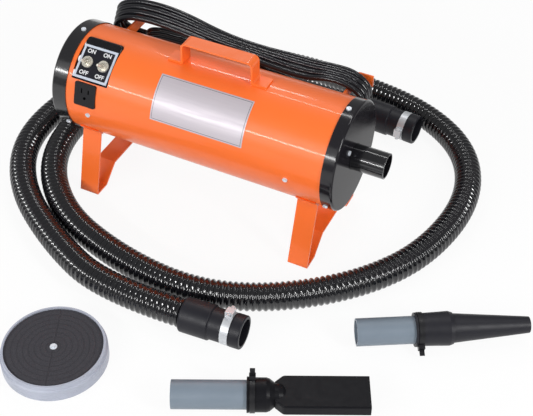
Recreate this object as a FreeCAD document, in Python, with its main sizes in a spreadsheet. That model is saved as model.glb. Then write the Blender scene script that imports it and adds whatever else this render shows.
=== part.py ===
import FreeCAD, Part
import math
import os
import re
from types import SimpleNamespace

import Sketcher
from FreeCAD import Placement, Rotation, Vector

# A canister pet dryer: a steel tube on two strap feet, with two vacuum motors in a row inside,
# a switch panel, a power cord wound on two hooks, a free corrugated hose and its loose nozzles.
# +X runs along the tube to the outlet, -Y is the side of the switch panel, +Z is up.
# The origin is on the floor, midway between the feet. All sizes are in millimetres and degrees.

SIZES = [
    # Casing
    ("tube_dia", 178, "outside of the steel tube, 7 inch"),
    ("tube_wall", 1.5, "sheet of the tube"),
    ("tube_length", 455, "painted length between the two caps"),
    ("tube_in_cap", 12, "length of tube hidden in each cap"),
    ("axis_height", 178, "tube axis above the floor"),
    ("cap_gap", 0.1, "clearance of a cap on the tube"),
    ("cap_wall", 1.5, "sheet of the caps"),
    ("cap_edge_round", 3.5, "outer edge of both caps"),
    ("intake_skirt", 27, "width of the intake cap's band"),
    ("outlet_skirt", 20, "width of the outlet cap's band"),
    ("mouth_fit", 0.5, "radial clearance of the filter in the intake mouth"),
    ("mouth_depth", 22, "depth of the intake mouth"),
    ("mouth_ledge", 6, "ledge that stops the screen"),
    ("mouth_step", 1, "seat of the screen inside the radius of the mouth"),
    ("screen_thickness", 1, "intake screen sheet"),
    ("screen_hole_dia", 11, "hole in the intake screen"),
    ("screen_hole_pitch", 15, "distance between screen holes"),
    # Outlet
    ("pipe_dia", 42.2, "outside of the outlet pipe and the nozzle tubes, 1.66 inch"),
    ("pipe_wall", 2.4, "wall of the outlet pipe"),
    ("pipe_hole_fit", 0.9, "clearance of the outlet pipe in the cap's face"),
    ("pipe_reach", 55, "outlet pipe beyond the cap's face"),
    ("pipe_flange_dia", 92, "flange behind the cap's face"),
    ("pipe_flange_thickness", 2, "flange sheet"),
    ("pipe_screw_radius", 38, "outlet screws from the axis"),
    # Fasteners
    ("screw_shank_dia", 4, "sheet metal screws"),
    ("screw_head_dia", 8, "screw head"),
    ("screw_head_height", 2.2, "screw head"),
    ("screw_length", 8, "shank below the head"),
    ("screw_hole_fit", 0.15, "radial clearance of a screw hole"),
    ("cap_screw_angle", 88, "first screw of each cap, above the front horizon"),
    ("intake_screw_inset", 10, "cap screw from the cap's inner edge"),
    ("outlet_screw_inset", 6, "cap screw from the cap's inner edge"),
    ("rail_screw_angle", -5.5, "screws that hold the motor rails"),
    ("rail_screw_left", -187, "place along the tube"),
    ("rail_screw_right", 169.5, "place along the tube"),
    # Handle
    ("handle_length", 126, "outside of the two legs"),
    ("handle_centre", 13, "place along the tube"),
    ("handle_height", 39, "top above the tube"),
    ("handle_width", 25.4, "strap width, 1 inch"),
    ("handle_strap", 3, "strap thickness"),
    ("handle_tab", 24, "welded tab beyond each leg"),
    ("handle_round", 9, "outer bend of the strap"),
    # Feet
    ("foot_width", 34.6, "strap width"),
    ("foot_spacing", 398.6, "between the centres of the feet"),
    ("foot_half_depth", 99.3, "front bottom edge from the axis"),
    ("foot_top_half", 66, "foot at the height where it meets the tube"),
    ("foot_top_height", 118, "height where the foot meets the tube"),
    ("foot_strap", 3, "strap thickness"),
    ("foot_pad", 31.3, "flat pad at the front and rear"),
    ("foot_ramp", 32, "length of the ramp"),
    ("foot_rise", 27, "middle of the foot above the floor"),
    ("foot_flange", 2, "thickness of the welded flange"),
    ("foot_flange_height", 9, "flange above the top of the foot"),
    ("foot_round", 3, "outer bends of the strap"),
    # Switch panel
    ("panel_x", -186.7, "centre of the switch panel"),
    ("panel_angle", 53, "panel's direction above the front horizon"),
    ("panel_face", 84.5, "face of the switch box from the tube axis"),
    ("plate_width", 62, "switch plate"),
    ("plate_height", 57, "switch plate"),
    ("plate_thickness", 1.2, "switch plate"),
    ("legend_border", 4, "bare border of the plate around its black field"),
    ("legend_thickness", 0.2, "black field on the plate"),
    ("box_border", 2.5, "switch box beyond the plate at the sides and below"),
    ("box_above", 15, "switch box beyond the plate above"),
    ("box_round", 6, "upper corners of the switch box"),
    ("box_edge_round", 4.5, "upper front edge of the switch box"),
    ("box_wall", 2, "switch box"),
    ("box_depth", 14, "depth of the switch box, open behind"),
    ("box_fit", 0.3, "clearance of the box in the tube"),
    ("toggle_spacing", 29.6, "between the two toggle switches"),
    ("toggle_bush_dia", 11.9, "threaded bush of a toggle switch"),
    ("toggle_bush_reach", 6, "bush above the plate"),
    ("toggle_bore_dia", 8, "bore of the bush"),
    ("toggle_bore_depth", 8, "bore of the bush"),
    ("toggle_body_width", 18, "switch body along the tube"),
    ("toggle_body_height", 28, "switch body up the panel"),
    ("toggle_body_depth", 22, "switch body behind the face of the box"),
    ("toggle_terminal", 7, "solder lugs"),
    ("toggle_lug_thickness", 1, "solder lugs"),
    ("toggle_lug_width", 5, "solder lugs"),
    ("toggle_lug_spacing", 16, "between the two solder lugs"),
    ("nut_dia", 19, "dress nut"),
    ("nut_thickness", 2.6, "dress nut"),
    ("nut_fit", 0.1, "radial clearance of the nut on the bush"),
    ("lever_reach", 19, "lever beyond the pivot"),
    ("lever_ball_dia", 7.4, "ball on which the lever turns"),
    ("lever_tip_dia", 5.6, "ball end of the lever"),
    ("lever_root_dia", 3.4, "lever at the pivot"),
    ("lever_pivot_depth", 3.6, "pivot below the mouth of the bush"),
    ("toggle_throw", 25, "whole throw of a toggle lever"),
    # Receptacle
    ("socket_x", -190.6, "centre of the receptacle"),
    ("socket_angle", 18.4, "receptacle's direction above the front horizon"),
    ("socket_width", 39, "flange along the tube"),
    ("socket_height", 39.5, "flange up the tube"),
    ("socket_round", 3, "corners of the flange"),
    ("socket_proud", 1.6, "flange face above the tube"),
    ("socket_body_width", 31, "body along the tube"),
    ("socket_body_height", 29, "body up the tube"),
    ("socket_depth", 22, "body below the tube's surface"),
    ("socket_fit", 0.4, "clearance of the body in the tube"),
    ("blade_spacing", 12.7, "between the two blade slots"),
    ("blade_width", 2.2, "blade slot"),
    ("blade_height", 8.4, "blade slot"),
    ("live_blade_height", 6.9, "slot of the narrower blade"),
    ("ground_dia", 5.2, "ground pin hole"),
    ("ground_drop", 11.9, "ground hole below the blade slots"),
    ("slot_depth", 14, "depth of the contact slots"),
    # Name plate, left blank
    ("label_x", 11.8, "centre of the plate"),
    ("label_width", 162.4, "along the tube"),
    ("label_height", 74.6, "chord round the tube"),
    ("label_angle", 39.9, "plate's direction above the front horizon"),
    ("label_thickness", 0.5, "aluminium sheet"),
    # Cord hooks
    ("hook_left_x", -212, "outer side of the left hook"),
    ("hook_right_x", 193, "outer side of the right hook"),
    ("hook_top", 226, "upper edge of both hooks"),
    ("hook_width", 20, "strap width"),
    ("hook_strap", 3, "strap thickness"),
    ("hook_reach", 143, "inner side of the lip from the axis"),
    ("hook_lip", 28, "length of the lip"),
    # Cord
    ("cord_dia", 10, "round mains cord"),
    ("gland_x", 0, "cord exit along the tube"),
    ("gland_angle", 205, "cord exit round the tube"),
    ("gland_dia", 20, "flange of the strain relief"),
    ("gland_neck_dia", 15, "strain relief at its root"),
    ("gland_reach", 30, "strain relief outside the tube"),
    ("gland_grip", 11, "strain relief inside the tube"),
    ("gland_flange_thickness", 3, "flange of the strain relief"),
    ("gland_wall", 1, "rubber round the cord where it leaves the strain relief or the plug"),
    ("gland_fit", 0.1, "radial clearance of the gland in the tube"),
    ("plug_width", 26, "moulded plug"),
    ("plug_thickness", 22, "moulded plug"),
    ("plug_length", 38, "moulded plug"),
    ("plug_neck_length", 12, "taper of the plug towards the cord"),
    ("plug_blade_thickness", 1.5, "flat blades"),
    ("plug_blade_width", 6.3, "flat blades"),
    ("plug_pin_dia", 4.8, "ground pin"),
    ("plug_pin_extra", 2, "ground pin beyond the blades"),
    ("plug_blade_length", 17, "blades beyond the plug"),
    # Hose
    ("hose_dia", 46, "outside of the ribs"),
    ("hose_bore", 36, "clear bore"),
    ("hose_rib_depth", 2.6, "groove between the ribs"),
    ("hose_rib_count", 200, "ribs along the hose"),
    ("cuff_dia", 56, "cuff over the hose"),
    ("cuff_length", 47, "cuff over the hose"),
    ("cuff_end_round", 3, "outer edge where the hose enters"),
    ("cuff_step_round", 1.2, "outer edge of the step"),
    ("cuff_step_slope", 1.5, "slope of the step"),
    ("sleeve_dia", 51.2, "sleeve that slips over a pipe"),
    ("sleeve_length", 53, "sleeve that slips over a pipe"),
    ("sleeve_fit", 0.3, "radial clearance of the sleeve on a pipe"),
    ("sleeve_lip_dia", 53.2, "bead at the sleeve's mouth"),
    ("sleeve_lip_length", 17, "bead at the sleeve's mouth"),
    ("sleeve_end_round", 2, "outer edge of the mouth"),
    ("cuff_1_x", 163, "hose end of the cuff behind the outlet"),
    ("cuff_1_y", 291, "hose end of the cuff behind the outlet"),
    ("cuff_2_x", 97, "hose end of the cuff in front"),
    ("cuff_2_y", -290, "hose end of the cuff in front"),
    ("clamp_place", 28.5, "middle of the clamp from the step of the cuff"),
    ("clamp_width", 12.7, "band of the worm clamp, half inch"),
    ("clamp_band", 0.7, "thickness of the band"),
    ("clamp_fit", 0.05, "clearance of the band on the sleeve"),
    ("clamp_screw_dia", 6.4, "worm screw"),
    ("clamp_head_dia", 8.4, "head of the worm screw"),
    ("clamp_head_length", 4, "head of the worm screw"),
    ("clamp_head_gap", 0.5, "head to the housing"),
    ("clamp_head_lift", 0.4, "head above the band"),
    ("clamp_slot_width", 1.2, "driver slot"),
    ("clamp_slot_depth", 1.5, "driver slot"),
    ("clamp_screw_length", 24, "worm screw with its head"),
    ("clamp_housing_length", 14, "housing along the screw"),
    ("clamp_housing_height", 9.6, "housing above the band"),
    ("clamp_housing_foot", 1, "housing below the outside of the band"),
    ("clamp_screw_fit", 0.3, "radial clearance of the worm screw"),
    ("clamp_1_roll", 8, "housing above the front horizon, cuff behind"),
    ("clamp_2_roll", 100, "housing above the front horizon, cuff in front"),
    # Cone nozzle
    ("cone_x", 346, "open end of its tube"),
    ("cone_y", -207, "open end of its tube"),
    ("cone_heading", 29.6, "direction of its tip"),
    ("cone_tube_shown", 88, "bare tube"),
    ("cone_collar_length", 58, "collar"),
    ("cone_collar_dia", 50, "collar at its mouth"),
    ("cone_collar_swell", 52.4, "collar at the cone"),
    ("cone_collar_plain", 16, "collar before it swells"),
    ("cone_collar_shoulder", 6, "slope of the collar towards the cone"),
    ("cone_root_dia", 45, "cone beside the collar"),
    ("cone_tip_dia", 25, "cone at its tip"),
    ("cone_length", 118, "cone"),
    ("cone_tip_round", 1, "edge of the tip"),
    ("nozzle_tube_wall", 3.6, "plastic tube of a nozzle"),
    ("cone_tube_inset", 40, "tube inside the cone nozzle's collar"),
    ("flat_tube_inset", 27, "tube inside the flat nozzle's collar"),
    ("nozzle_tube_step", 0.5, "shoulder of a tube against its collar"),
    ("nozzle_tube_fit", 0.1, "radial clearance of a tube in its collar"),
    ("nozzle_wall", 2.6, "wall of the rubber nozzles"),
    ("nozzle_lip", 1, "bead at the mouth of a collar"),
    ("nozzle_lip_length", 3, "bead at the mouth of a collar"),
    # Flat nozzle
    ("flat_x", 153, "open end of its tube"),
    ("flat_y", -429, "open end of its tube"),
    ("flat_heading", 25.7, "direction of its mouth"),
    ("flat_tube_shown", 108, "bare tube"),
    ("flat_collar_length", 28, "collar"),
    ("flat_collar_dia", 49.5, "collar"),
    ("flat_neck_dia", 35, "waist between collar and flat body"),
    ("flat_neck_length", 12, "rounded neck"),
    ("flat_body_length", 136, "flat body"),
    ("flat_body_width", 57, "flat body"),
    ("flat_body_height", 19, "flat body"),
    ("flat_shoulder", 12, "slant between the neck and the flat body"),
    ("flat_dome_reach", 17, "dome of the collar on top of the flat body"),
    ("flat_shoulder_round", 9, "outer corners of the flat body beside the neck"),
    ("flat_body_round", 2.5, "long edges of the flat body"),
    ("tie_width", 7.6, "cable tie"),
    ("tie_thickness", 1.5, "cable tie"),
    ("tie_fit", 0.05, "clearance of a tie on its collar"),
    ("tie_place", 8, "middle of a tie from the collar's mouth"),
    ("tie_head", 12, "locking head"),
    ("tie_head_height", 6, "locking head above its collar"),
    ("tie_head_border", 1, "locking head beyond the tie at each side"),
    ("tie_tail", 10, "cut tail beyond the head"),
    # Intake filter
    ("filter_x", -46, "centre of the filter on the floor"),
    ("filter_y", -430, "centre of the filter on the floor"),
    ("filter_dia", 160, "plastic ring"),
    ("filter_height", 28, "plastic ring"),
    ("filter_rim_dia", 154, "upper step of the ring"),
    ("filter_rim_height", 9, "upper step of the ring"),
    ("filter_step", 2, "slope between the ring's two diameters"),
    ("filter_bore", 148, "inside of the ring"),
    ("filter_ledge", 5, "ledge that carries the grille"),
    ("filter_ledge_height", 9, "upper side of the ledge"),
    ("filter_ledge_thickness", 2.5, "ledge that carries the grille"),
    ("filter_relief", 1, "ring widened inside, below its ledge"),
    ("foam_thickness", 14, "foam disc"),
    ("foam_fit", 0.3, "clearance round the foam"),
    ("grille_thickness", 2.5, "support grille"),
    ("grille_bar", 2.4, "bars of the grille"),
    ("grille_rings", 6, "rings of the grille"),
    ("grille_spokes", 4, "bars across the grille"),
    ("filter_screw_dia", 4, "centre screw"),
    ("filter_screw_head_dia", 6.4, "head of the centre screw"),
    ("filter_screw_head_height", 2.6, "head of the centre screw"),
    ("filter_screw_tail", 4, "centre screw below the grille"),
    ("filter_washer_dia", 11, "washer under its head"),
    ("filter_washer_thickness", 1, "washer under its head"),
    # Motors
    ("motor_1_x", -145, "intake face of the first motor"),
    ("motor_2_x", 20, "intake face of the second motor"),
    ("fan_case_dia", 144, "fan case, 5.7 inch"),
    ("fan_case_length", 55, "fan case"),
    ("fan_case_wall", 1.2, "fan case"),
    ("fan_eye_dia", 46, "inlet of the fan case"),
    ("fan_dia", 132, "impellers"),
    ("fan_gap", 4, "axial room before and between the impellers"),
    ("fan_depth", 18, "one impeller"),
    ("fan_sheet", 1.2, "impeller discs"),
    ("fan_vanes", 7, "vanes of an impeller"),
    ("fan_hub_wall", 4, "hub of the impellers round the shaft"),
    ("fan_hub_gap", 0.5, "hub from the end of the shaft"),
    ("fan_hub_fit", 0.02, "hub on the shaft"),
    ("fan_hub_clear", 2, "hub from the frame plate, and the vanes from the shaft"),
    ("frame_plate", 3, "plates of the motor frame"),
    ("plate_port_dia", 12, "air holes of the frame plate"),
    ("plate_port_radius", 58, "air holes from the shaft"),
    ("plate_ports", 8, "air holes of the frame plate"),
    ("cage_dia", 94, "cage of the motor frame"),
    ("cage_wall", 2.5, "cage of the motor frame"),
    ("cage_length", 86, "cage of the motor frame"),
    ("window_width", 30, "windows of the cage"),
    ("window_clear", 4, "windows from the coil ends"),
    ("window_length", 10, "windows beside the brushes"),
    ("window_start", 5, "first windows from the frame plate"),
    ("bearing_dia", 22, "ball bearing"),
    ("bearing_width", 7, "ball bearing"),
    ("bearing_boss", 3, "wall round a bearing"),
    ("bearing_sink", 1, "bearing in its plate"),
    ("shaft_dia", 8, "motor shaft"),
    ("shaft_fit", 0.05, "running clearance of the shaft in a bearing"),
    ("shaft_clear", 1, "shaft in the frame plates"),
    ("field_bore", 58, "laminated field"),
    ("field_length", 38, "laminated field"),
    ("field_start", 22, "field from the frame plate"),
    ("coil_length", 9, "coil ends of the field"),
    ("coil_step", 4, "coils inside the outside of the core"),
    ("winding_length", 8, "armature winding beyond its core"),
    ("air_gap", 0.6, "armature in the field"),
    ("commutator_dia", 24, "commutator"),
    ("commutator_length", 10, "commutator"),
    ("brush_width", 7, "carbon brush"),
    ("brush_gap", 0.3, "brush to commutator, and to the cage"),
    ("ring_fit", 0.2, "clearance of a motor ring in the tube"),
    ("ring_length", 14, "motor ring along the tube"),
    ("ring_place", 20, "motor ring from the motor's intake face"),
    ("rail_width", 14, "motor rail"),
    ("rail_thickness", 4, "motor rail"),
    ("rail_gap", 0.3, "rail to the tube at its edges"),
    ("rail_end", 8, "rail beyond its screws"),
    ("seat_gap", 0.1, "clearance of a piece in its seat"),
]

doc = FreeCAD.newDocument("pet_dryer")
sheet = doc.addObject("Spreadsheet::Sheet", "sizes")
for row, (alias, number, meaning) in enumerate(SIZES, start=1):
    sheet.set(f"A{row}", meaning)
    sheet.set(f"B{row}", str(number))
    sheet.setAlias(f"B{row}", alias)
doc.recompute()
v = SimpleNamespace(**{alias: float(sheet.get(alias)) for alias, number, meaning in SIZES})
ALIASES = {alias for alias, number, meaning in SIZES}
AXIS_X = Vector(1, 0, 0)
AXIS_Y = Vector(0, 1, 0)
AXIS_Z = Vector(0, 0, 1)
ALONG = {"x": Rotation(AXIS_Y, 90), "y": Rotation(AXIS_X, -90), "z": Rotation()}
PARTS = {}


def bound(text):
    """An expression with each size name written as a cell of the sheet."""
    def cell(match):
        word = match.group()
        return "sizes." + word if word in ALIASES else word

    return re.sub(r"[a-z][a-z_0-9]*", cell, text)


def bind(obj, **places):
    for name, text in places.items():
        obj.setExpression(name.replace("__", "."), bound(text))
    return obj


def move(obj, x="0", y="0", z="0"):
    return bind(obj, Placement__Base__x=x, Placement__Base__y=y, Placement__Base__z=z)


def cylinder(name, radius, height, x="0", y="0", z="0", along="z"):
    obj = doc.addObject("Part::Cylinder", name)
    obj.Placement = Placement(Vector(), ALONG[along])
    bind(obj, Radius=radius, Height=height)
    return move(obj, x, y, z)


def box(name, length, width, height, x="0", y="0", z="0"):
    """A box centred on x and y, standing on z."""
    obj = doc.addObject("Part::Box", name)
    bind(obj, Length=length, Width=width, Height=height)
    return move(obj, f"{x} - ({length}) / 2", f"{y} - ({width}) / 2", z)


def cut(name, base, *tools):
    for number, tool in enumerate(tools, start=1):
        obj = doc.addObject("Part::Cut", f"{name}_{number}" if number < len(tools) else name)
        obj.Base = base
        obj.Tool = tool
        base = obj
    return base


def fuse(name, *pieces):
    obj = doc.addObject("Part::MultiFuse", name)
    obj.Shapes = list(pieces)
    return obj


def common(name, *pieces):
    obj = doc.addObject("Part::MultiCommon", name)
    obj.Shapes = list(pieces)
    return obj


def group(name, pieces):
    obj = doc.addObject("Part::Compound", name)
    obj.Links = list(pieces)
    return obj


def outline_body(name, outline, plane="XZ_Plane"):
    """A body with one closed sketch; each corner of it is a pair of expressions."""
    body = doc.addObject("PartDesign::Body", name)
    base = next(f for f in body.Origin.OriginFeatures if f.Role == plane)
    sketch = body.newObject("Sketcher::SketchObject", name + "_sketch")
    sketch.AttachmentSupport = [(base, "")]
    sketch.MapMode = "FlatFace"
    count = len(outline)
    # The start places only have to differ: the constraints below set the real ones.
    turns = [i * 2 * math.pi / count for i in range(count)]
    start = [Vector(math.cos(turn), math.sin(turn), 0) for turn in turns]
    for i in range(count):
        sketch.addGeometry(Part.LineSegment(start[i], start[(i + 1) % count]), False)
    for i in range(count):
        sketch.addConstraint(Sketcher.Constraint("Coincident", i, 2, (i + 1) % count, 1))
    for i, (first, second) in enumerate(outline):
        for kind, text, rough in (("DistanceX", first, start[i].x), ("DistanceY", second, start[i].y)):
            number = sketch.addConstraint(Sketcher.Constraint(kind, -1, 1, i, 1, rough))
            sketch.setExpression(f"Constraints[{number}]", bound(text))
    return body, sketch


def turned(name, outline, axis="H_Axis"):
    """A turned piece: the outline is (along, radius) round X, or (radius, height) round Z."""
    body, sketch = outline_body(name, outline)
    feature = body.newObject("PartDesign::Revolution", name + "_turn")
    feature.Profile = sketch
    feature.ReferenceAxis = (sketch, [axis])
    feature.Angle = 360
    doc.recompute()
    return body


def padded(name, outline, length, plane="XZ_Plane"):
    """A plate of the outline, as thick as length, centred on the sketch's plane."""
    body, sketch = outline_body(name, outline, plane)
    feature = body.newObject("PartDesign::Pad", name + "_pad")
    feature.Profile = sketch
    feature.Midplane = True
    bind(feature, Length=length)
    doc.recompute()
    return body


def round_plate(name, length, width, height, z, corner):
    """A plate centred on x and y, with rounded upright edges, standing on z."""
    right, back = f"({length}) / 2", f"({width}) / 2"
    outline = [(f"-{right}", f"-{back}"), (right, f"-{back}"), (right, back), (f"-{right}", back)]
    body, sketch = outline_body(name, outline, "XY_Plane")
    pad = body.newObject("PartDesign::Pad", name + "_pad")
    pad.Profile = sketch
    bind(pad, Length=height)
    doc.recompute()
    rounded(body, corner, lambda e: straight(e, AXIS_Z))
    return move(body, z=z)


def rounded(body, radius, picked):
    """Rounds the edges of the body's last feature that the test picks."""
    tip = body.Tip
    names = [f"Edge{i}" for i, edge in enumerate(tip.Shape.Edges, start=1) if picked(edge)]
    if not names:
        raise RuntimeError(body.Label + ": no edge to round")
    feature = body.newObject("PartDesign::Fillet", f"{body.Name}_round_{len(body.Group)}")
    feature.Base = (tip, names)
    bind(feature, Radius=radius)
    body.Tip = feature
    doc.recompute()
    return body


def straight(edge, direction):
    """True for a line edge along the direction."""
    if edge.Curve.TypeId != "Part::GeomLine":
        return False
    return edge.tangentAt(edge.FirstParameter).cross(direction).Length < 1e-6


def ring_edge(edge, radius, x):
    """True for a circle round X with that radius at that place."""
    curve = edge.Curve
    if curve.TypeId != "Part::GeomCircle":
        return False
    return abs(curve.Radius - radius) < 1e-3 and abs(curve.Center.x - x) < 1e-3


def node(name, obj):
    """Names a finished sub-part: this is one exported file."""
    obj.Label = name
    PARTS[name] = obj
    return obj


def on_radius(obj, x, angle):
    """Turns a piece made round the Z axis so that Z points out of the tube at the angle, at x."""
    obj.Placement = Placement(Vector(), Rotation(AXIS_X, 10))
    move(obj, x, "0", "axis_height")
    return bind(obj, Placement__Rotation__Angle=f"90 - ({angle})")


def on_floor(obj, origin, heading, roll=90.0):
    """Lays a piece made along X at the origin, heading in the floor's plane and rolled round X."""
    obj.Placement = Placement(Vector(*origin), Rotation(AXIS_Z, heading) * Rotation(AXIS_X, 90 - roll))
    return obj


def screw(name, x, angle, seat):
    """A round headed screw that stands on the radius seat, at x and the angle round the tube."""
    shank = cylinder(name + "_shank", "screw_shank_dia / 2", "screw_length", z=f"{seat} - screw_length")
    head = cylinder(name + "_head", "screw_head_dia / 2", "screw_head_height", z=seat)
    socket = cylinder(name + "_socket", "screw_head_dia / 5", "screw_head_height",
                      z=f"{seat} + screw_head_height / 2")
    return on_radius(cut(name, fuse(name + "_whole", shank, head), socket), x, angle)


def screw_hole(name, x, angle):
    """A tool that drills a screw's hole through the tube and what lies on it."""
    drill = cylinder(f"{name}_drill", "screw_shank_dia / 2 + screw_hole_fit", "2 * screw_length",
                     z="tube_dia / 2 - screw_length")
    return on_radius(group(name, [drill]), x, angle)


TUBE = "tube_dia / 2"
CAP_IN = "(tube_dia / 2 + cap_gap)"
CAP_OUT = "(tube_dia / 2 + cap_gap + cap_wall)"
TUBE_END = "tube_length / 2"
CAP_SCREW_ANGLES = ["cap_screw_angle", "cap_screw_angle - 120", "cap_screw_angle + 120"]
INTAKE_SCREW_X = "-(tube_length / 2 + intake_screw_inset)"
OUTLET_SCREW_X = "tube_length / 2 + outlet_screw_inset"
CAP_SCREWS = [(x, angle) for x in (INTAKE_SCREW_X, OUTLET_SCREW_X) for angle in CAP_SCREW_ANGLES]
RAIL_ANGLES = ["rail_screw_angle", "180 - (rail_screw_angle)"]
RAIL_SCREWS = [(x, angle) for x in ("rail_screw_left", "rail_screw_right") for angle in RAIL_ANGLES]


def tube_skin(name, inner, outer, x="0", length="tube_length"):
    """A sleeve round the tube axis."""
    start = f"{x} - ({length}) / 2"
    whole = cylinder(name + "_out", outer, length, start, "0", "axis_height", "x")
    hollow = cylinder(name + "_in", inner, f"({length}) + 2", f"{start} - 1", "0", "axis_height", "x")
    return cut(name, whole, hollow)


def round_tube(name, grow="0"):
    """The space of the tube itself, used to shape what is welded on it."""
    radius = f"tube_dia / 2 + {grow}"
    return cylinder(name, radius, "tube_length * 2", "-tube_length", "0", "axis_height", "x")


def panel_block(name, grow, depth, top):
    """The switch box's outline, grown by a clearance, from depth to top above the tube axis."""
    half = f"(plate_width / 2 + box_border + {grow})"
    low = f"-(plate_height / 2 + box_border + {grow})"
    high = f"(plate_height / 2 + box_above + {grow})"
    outline = [("-" + half, low), (half, low), (half, high), ("-" + half, high)]
    body, sketch = outline_body(name, outline, "XY_Plane")
    pad = body.newObject("PartDesign::Pad", name + "_pad")
    pad.Profile = sketch
    bind(pad, Length=f"({top}) - ({depth})")
    doc.recompute()
    top_y = v.plate_height / 2
    rounded(body, f"box_round + {grow}", lambda e: straight(e, AXIS_Z) and e.CenterOfMass.y > top_y)
    return move(body, z=depth)


def body_tube():
    length = "tube_length + 2 * tube_in_cap"
    shell = tube_skin("tube_shell", "tube_dia / 2 - tube_wall", TUBE, "0", length)
    tools = [screw_hole(f"tube_hole_{i}", x, angle) for i, (x, angle) in enumerate(CAP_SCREWS + RAIL_SCREWS)]
    opening = panel_block("switch_opening", "box_fit", "tube_dia / 3", "tube_dia")
    tools.append(on_radius(group("switch_opening_set", [opening]), "panel_x", "panel_angle"))
    socket = box("socket_opening", "socket_body_width + 2 * socket_fit",
                 "socket_body_height + 2 * socket_fit", "tube_dia", z="tube_dia / 3")
    tools.append(on_radius(group("socket_opening_set", [socket]), "socket_x", "socket_angle"))
    gland = cylinder("gland_hole", "gland_neck_dia / 2 + gland_fit", "tube_dia")
    tools.append(on_radius(gland, "gland_x", "gland_angle"))
    node("body_tube", cut("tube", shell, *tools))


def caps():
    mouth = "(filter_dia / 2 + mouth_fit)"
    edge = f"-({TUBE_END})"
    face = f"-({TUBE_END} + intake_skirt)"
    inner_face = f"-({TUBE_END} + intake_skirt - cap_wall)"
    seat = f"-({TUBE_END} + intake_skirt - mouth_depth + screen_thickness)"
    stop = f"-({TUBE_END} + intake_skirt - mouth_depth)"
    stop_back = f"-({TUBE_END} + intake_skirt - mouth_depth - cap_wall)"
    intake = turned("intake_cap_blank", [
        (edge, CAP_IN), (edge, CAP_OUT), (face, CAP_OUT), (face, mouth), (seat, mouth),
        (seat, f"{mouth} - mouth_step"), (stop, f"{mouth} - mouth_step"),
        (stop, f"{mouth} - mouth_ledge"), (stop_back, f"{mouth} - mouth_ledge"),
        (stop_back, f"{mouth} + cap_wall"), (inner_face, f"{mouth} + cap_wall"), (inner_face, CAP_IN)])
    cap_r = v.tube_dia / 2 + v.cap_gap + v.cap_wall
    left = -(v.tube_length / 2 + v.intake_skirt)
    rounded(intake, "cap_edge_round", lambda e: ring_edge(e, cap_r, left))
    move(intake, z="axis_height")
    holes = [screw_hole(f"intake_cap_hole_{j}", INTAKE_SCREW_X, a) for j, a in enumerate(CAP_SCREW_ANGLES)]
    node("intake_cap", cut("intake_cap_cut", intake, *holes))

    edge, face = TUBE_END, f"({TUBE_END} + outlet_skirt)"
    inner_face = f"({TUBE_END} + outlet_skirt - cap_wall)"
    bore = "(pipe_dia / 2 + pipe_hole_fit)"
    outlet = turned("outlet_cap_blank", [
        (edge, CAP_IN), (edge, CAP_OUT), (face, CAP_OUT), (face, bore), (inner_face, bore),
        (inner_face, CAP_IN)])
    right = v.tube_length / 2 + v.outlet_skirt
    rounded(outlet, "cap_edge_round", lambda e: ring_edge(e, cap_r, right))
    inner_r, inner_x = v.tube_dia / 2 + v.cap_gap, right - v.cap_wall
    rounded(outlet, "cap_edge_round - cap_wall", lambda e: ring_edge(e, inner_r, inner_x))
    move(outlet, z="axis_height")
    holes = [screw_hole(f"outlet_cap_hole_{j}", OUTLET_SCREW_X, a) for j, a in enumerate(CAP_SCREW_ANGLES)]
    holes += [outlet_screw_hole(f"outlet_face_hole_{j}", side) for j, side in enumerate((1, -1))]
    node("outlet_cap", cut("outlet_cap_cut", outlet, *holes))


def intake_screen():
    """A flat disc with holes on a triangular grid, against the ledge of the intake mouth."""
    radius = v.filter_dia / 2 + v.mouth_fit - v.mouth_step - v.seat_gap
    x = -(v.tube_length / 2 + v.intake_skirt - v.mouth_depth + v.screen_thickness)
    centre = Vector(x, 0, v.axis_height)
    disc = Part.Face(Part.Wire(Part.Circle(centre, AXIS_X, radius).toShape()))
    hole_r, pitch = v.screen_hole_dia / 2, v.screen_hole_pitch
    reach = radius - v.mouth_ledge - hole_r
    rows = int(reach / pitch) + 1
    wires = []
    for row in range(-rows, rows + 1):
        for column in range(-2 * rows, 2 * rows + 1):
            y, z = (column + row / 2) * pitch, row * pitch * math.sqrt(3) / 2
            if math.hypot(y, z) < reach:
                wires.append(Part.Wire(Part.Circle(centre + Vector(0, y, z), AXIS_X, hole_r).toShape()))
    sheet_face = Part.makeFace([disc.OuterWire] + wires, "Part::FaceMakerBullseye")
    obj = doc.addObject("Part::Feature", "screen")
    obj.Shape = sheet_face.extrude(AXIS_X * v.screen_thickness)
    node("intake_screen", obj)


def outlet_screw_spot(side):
    """Place of an outlet screw on the cap's face: half a right angle up in front, and its opposite."""
    return f"{-side} * pipe_screw_radius * cos(45)", f"axis_height + {side} * pipe_screw_radius * sin(45)"


def outlet_screw_hole(name, side):
    y, z = outlet_screw_spot(side)
    return cylinder(name, "screw_shank_dia / 2 + screw_hole_fit", "2 * outlet_skirt", TUBE_END, y, z, "x")


def outlet_pipe():
    """A pipe with a flange that lies behind the cap's face."""
    behind = f"({TUBE_END} + outlet_skirt - cap_wall)"
    front = f"({TUBE_END} + outlet_skirt + pipe_reach)"
    pipe = turned("outlet_pipe_blank", [
        (f"{behind} - pipe_flange_thickness", "pipe_dia / 2 - pipe_wall"),
        (f"{behind} - pipe_flange_thickness", "pipe_flange_dia / 2"), (behind, "pipe_flange_dia / 2"),
        (behind, "pipe_dia / 2"), (front, "pipe_dia / 2"), (front, "pipe_dia / 2 - pipe_wall")])
    end, radius = v.tube_length / 2 + v.outlet_skirt + v.pipe_reach, v.pipe_dia / 2
    rounded(pipe, "pipe_wall / 3", lambda e: ring_edge(e, radius, end))
    move(pipe, z="axis_height")
    holes = [outlet_screw_hole(f"pipe_hole_{j}", side) for j, side in enumerate((1, -1))]
    node("outlet_pipe", cut("outlet_pipe_cut", pipe, *holes))


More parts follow.
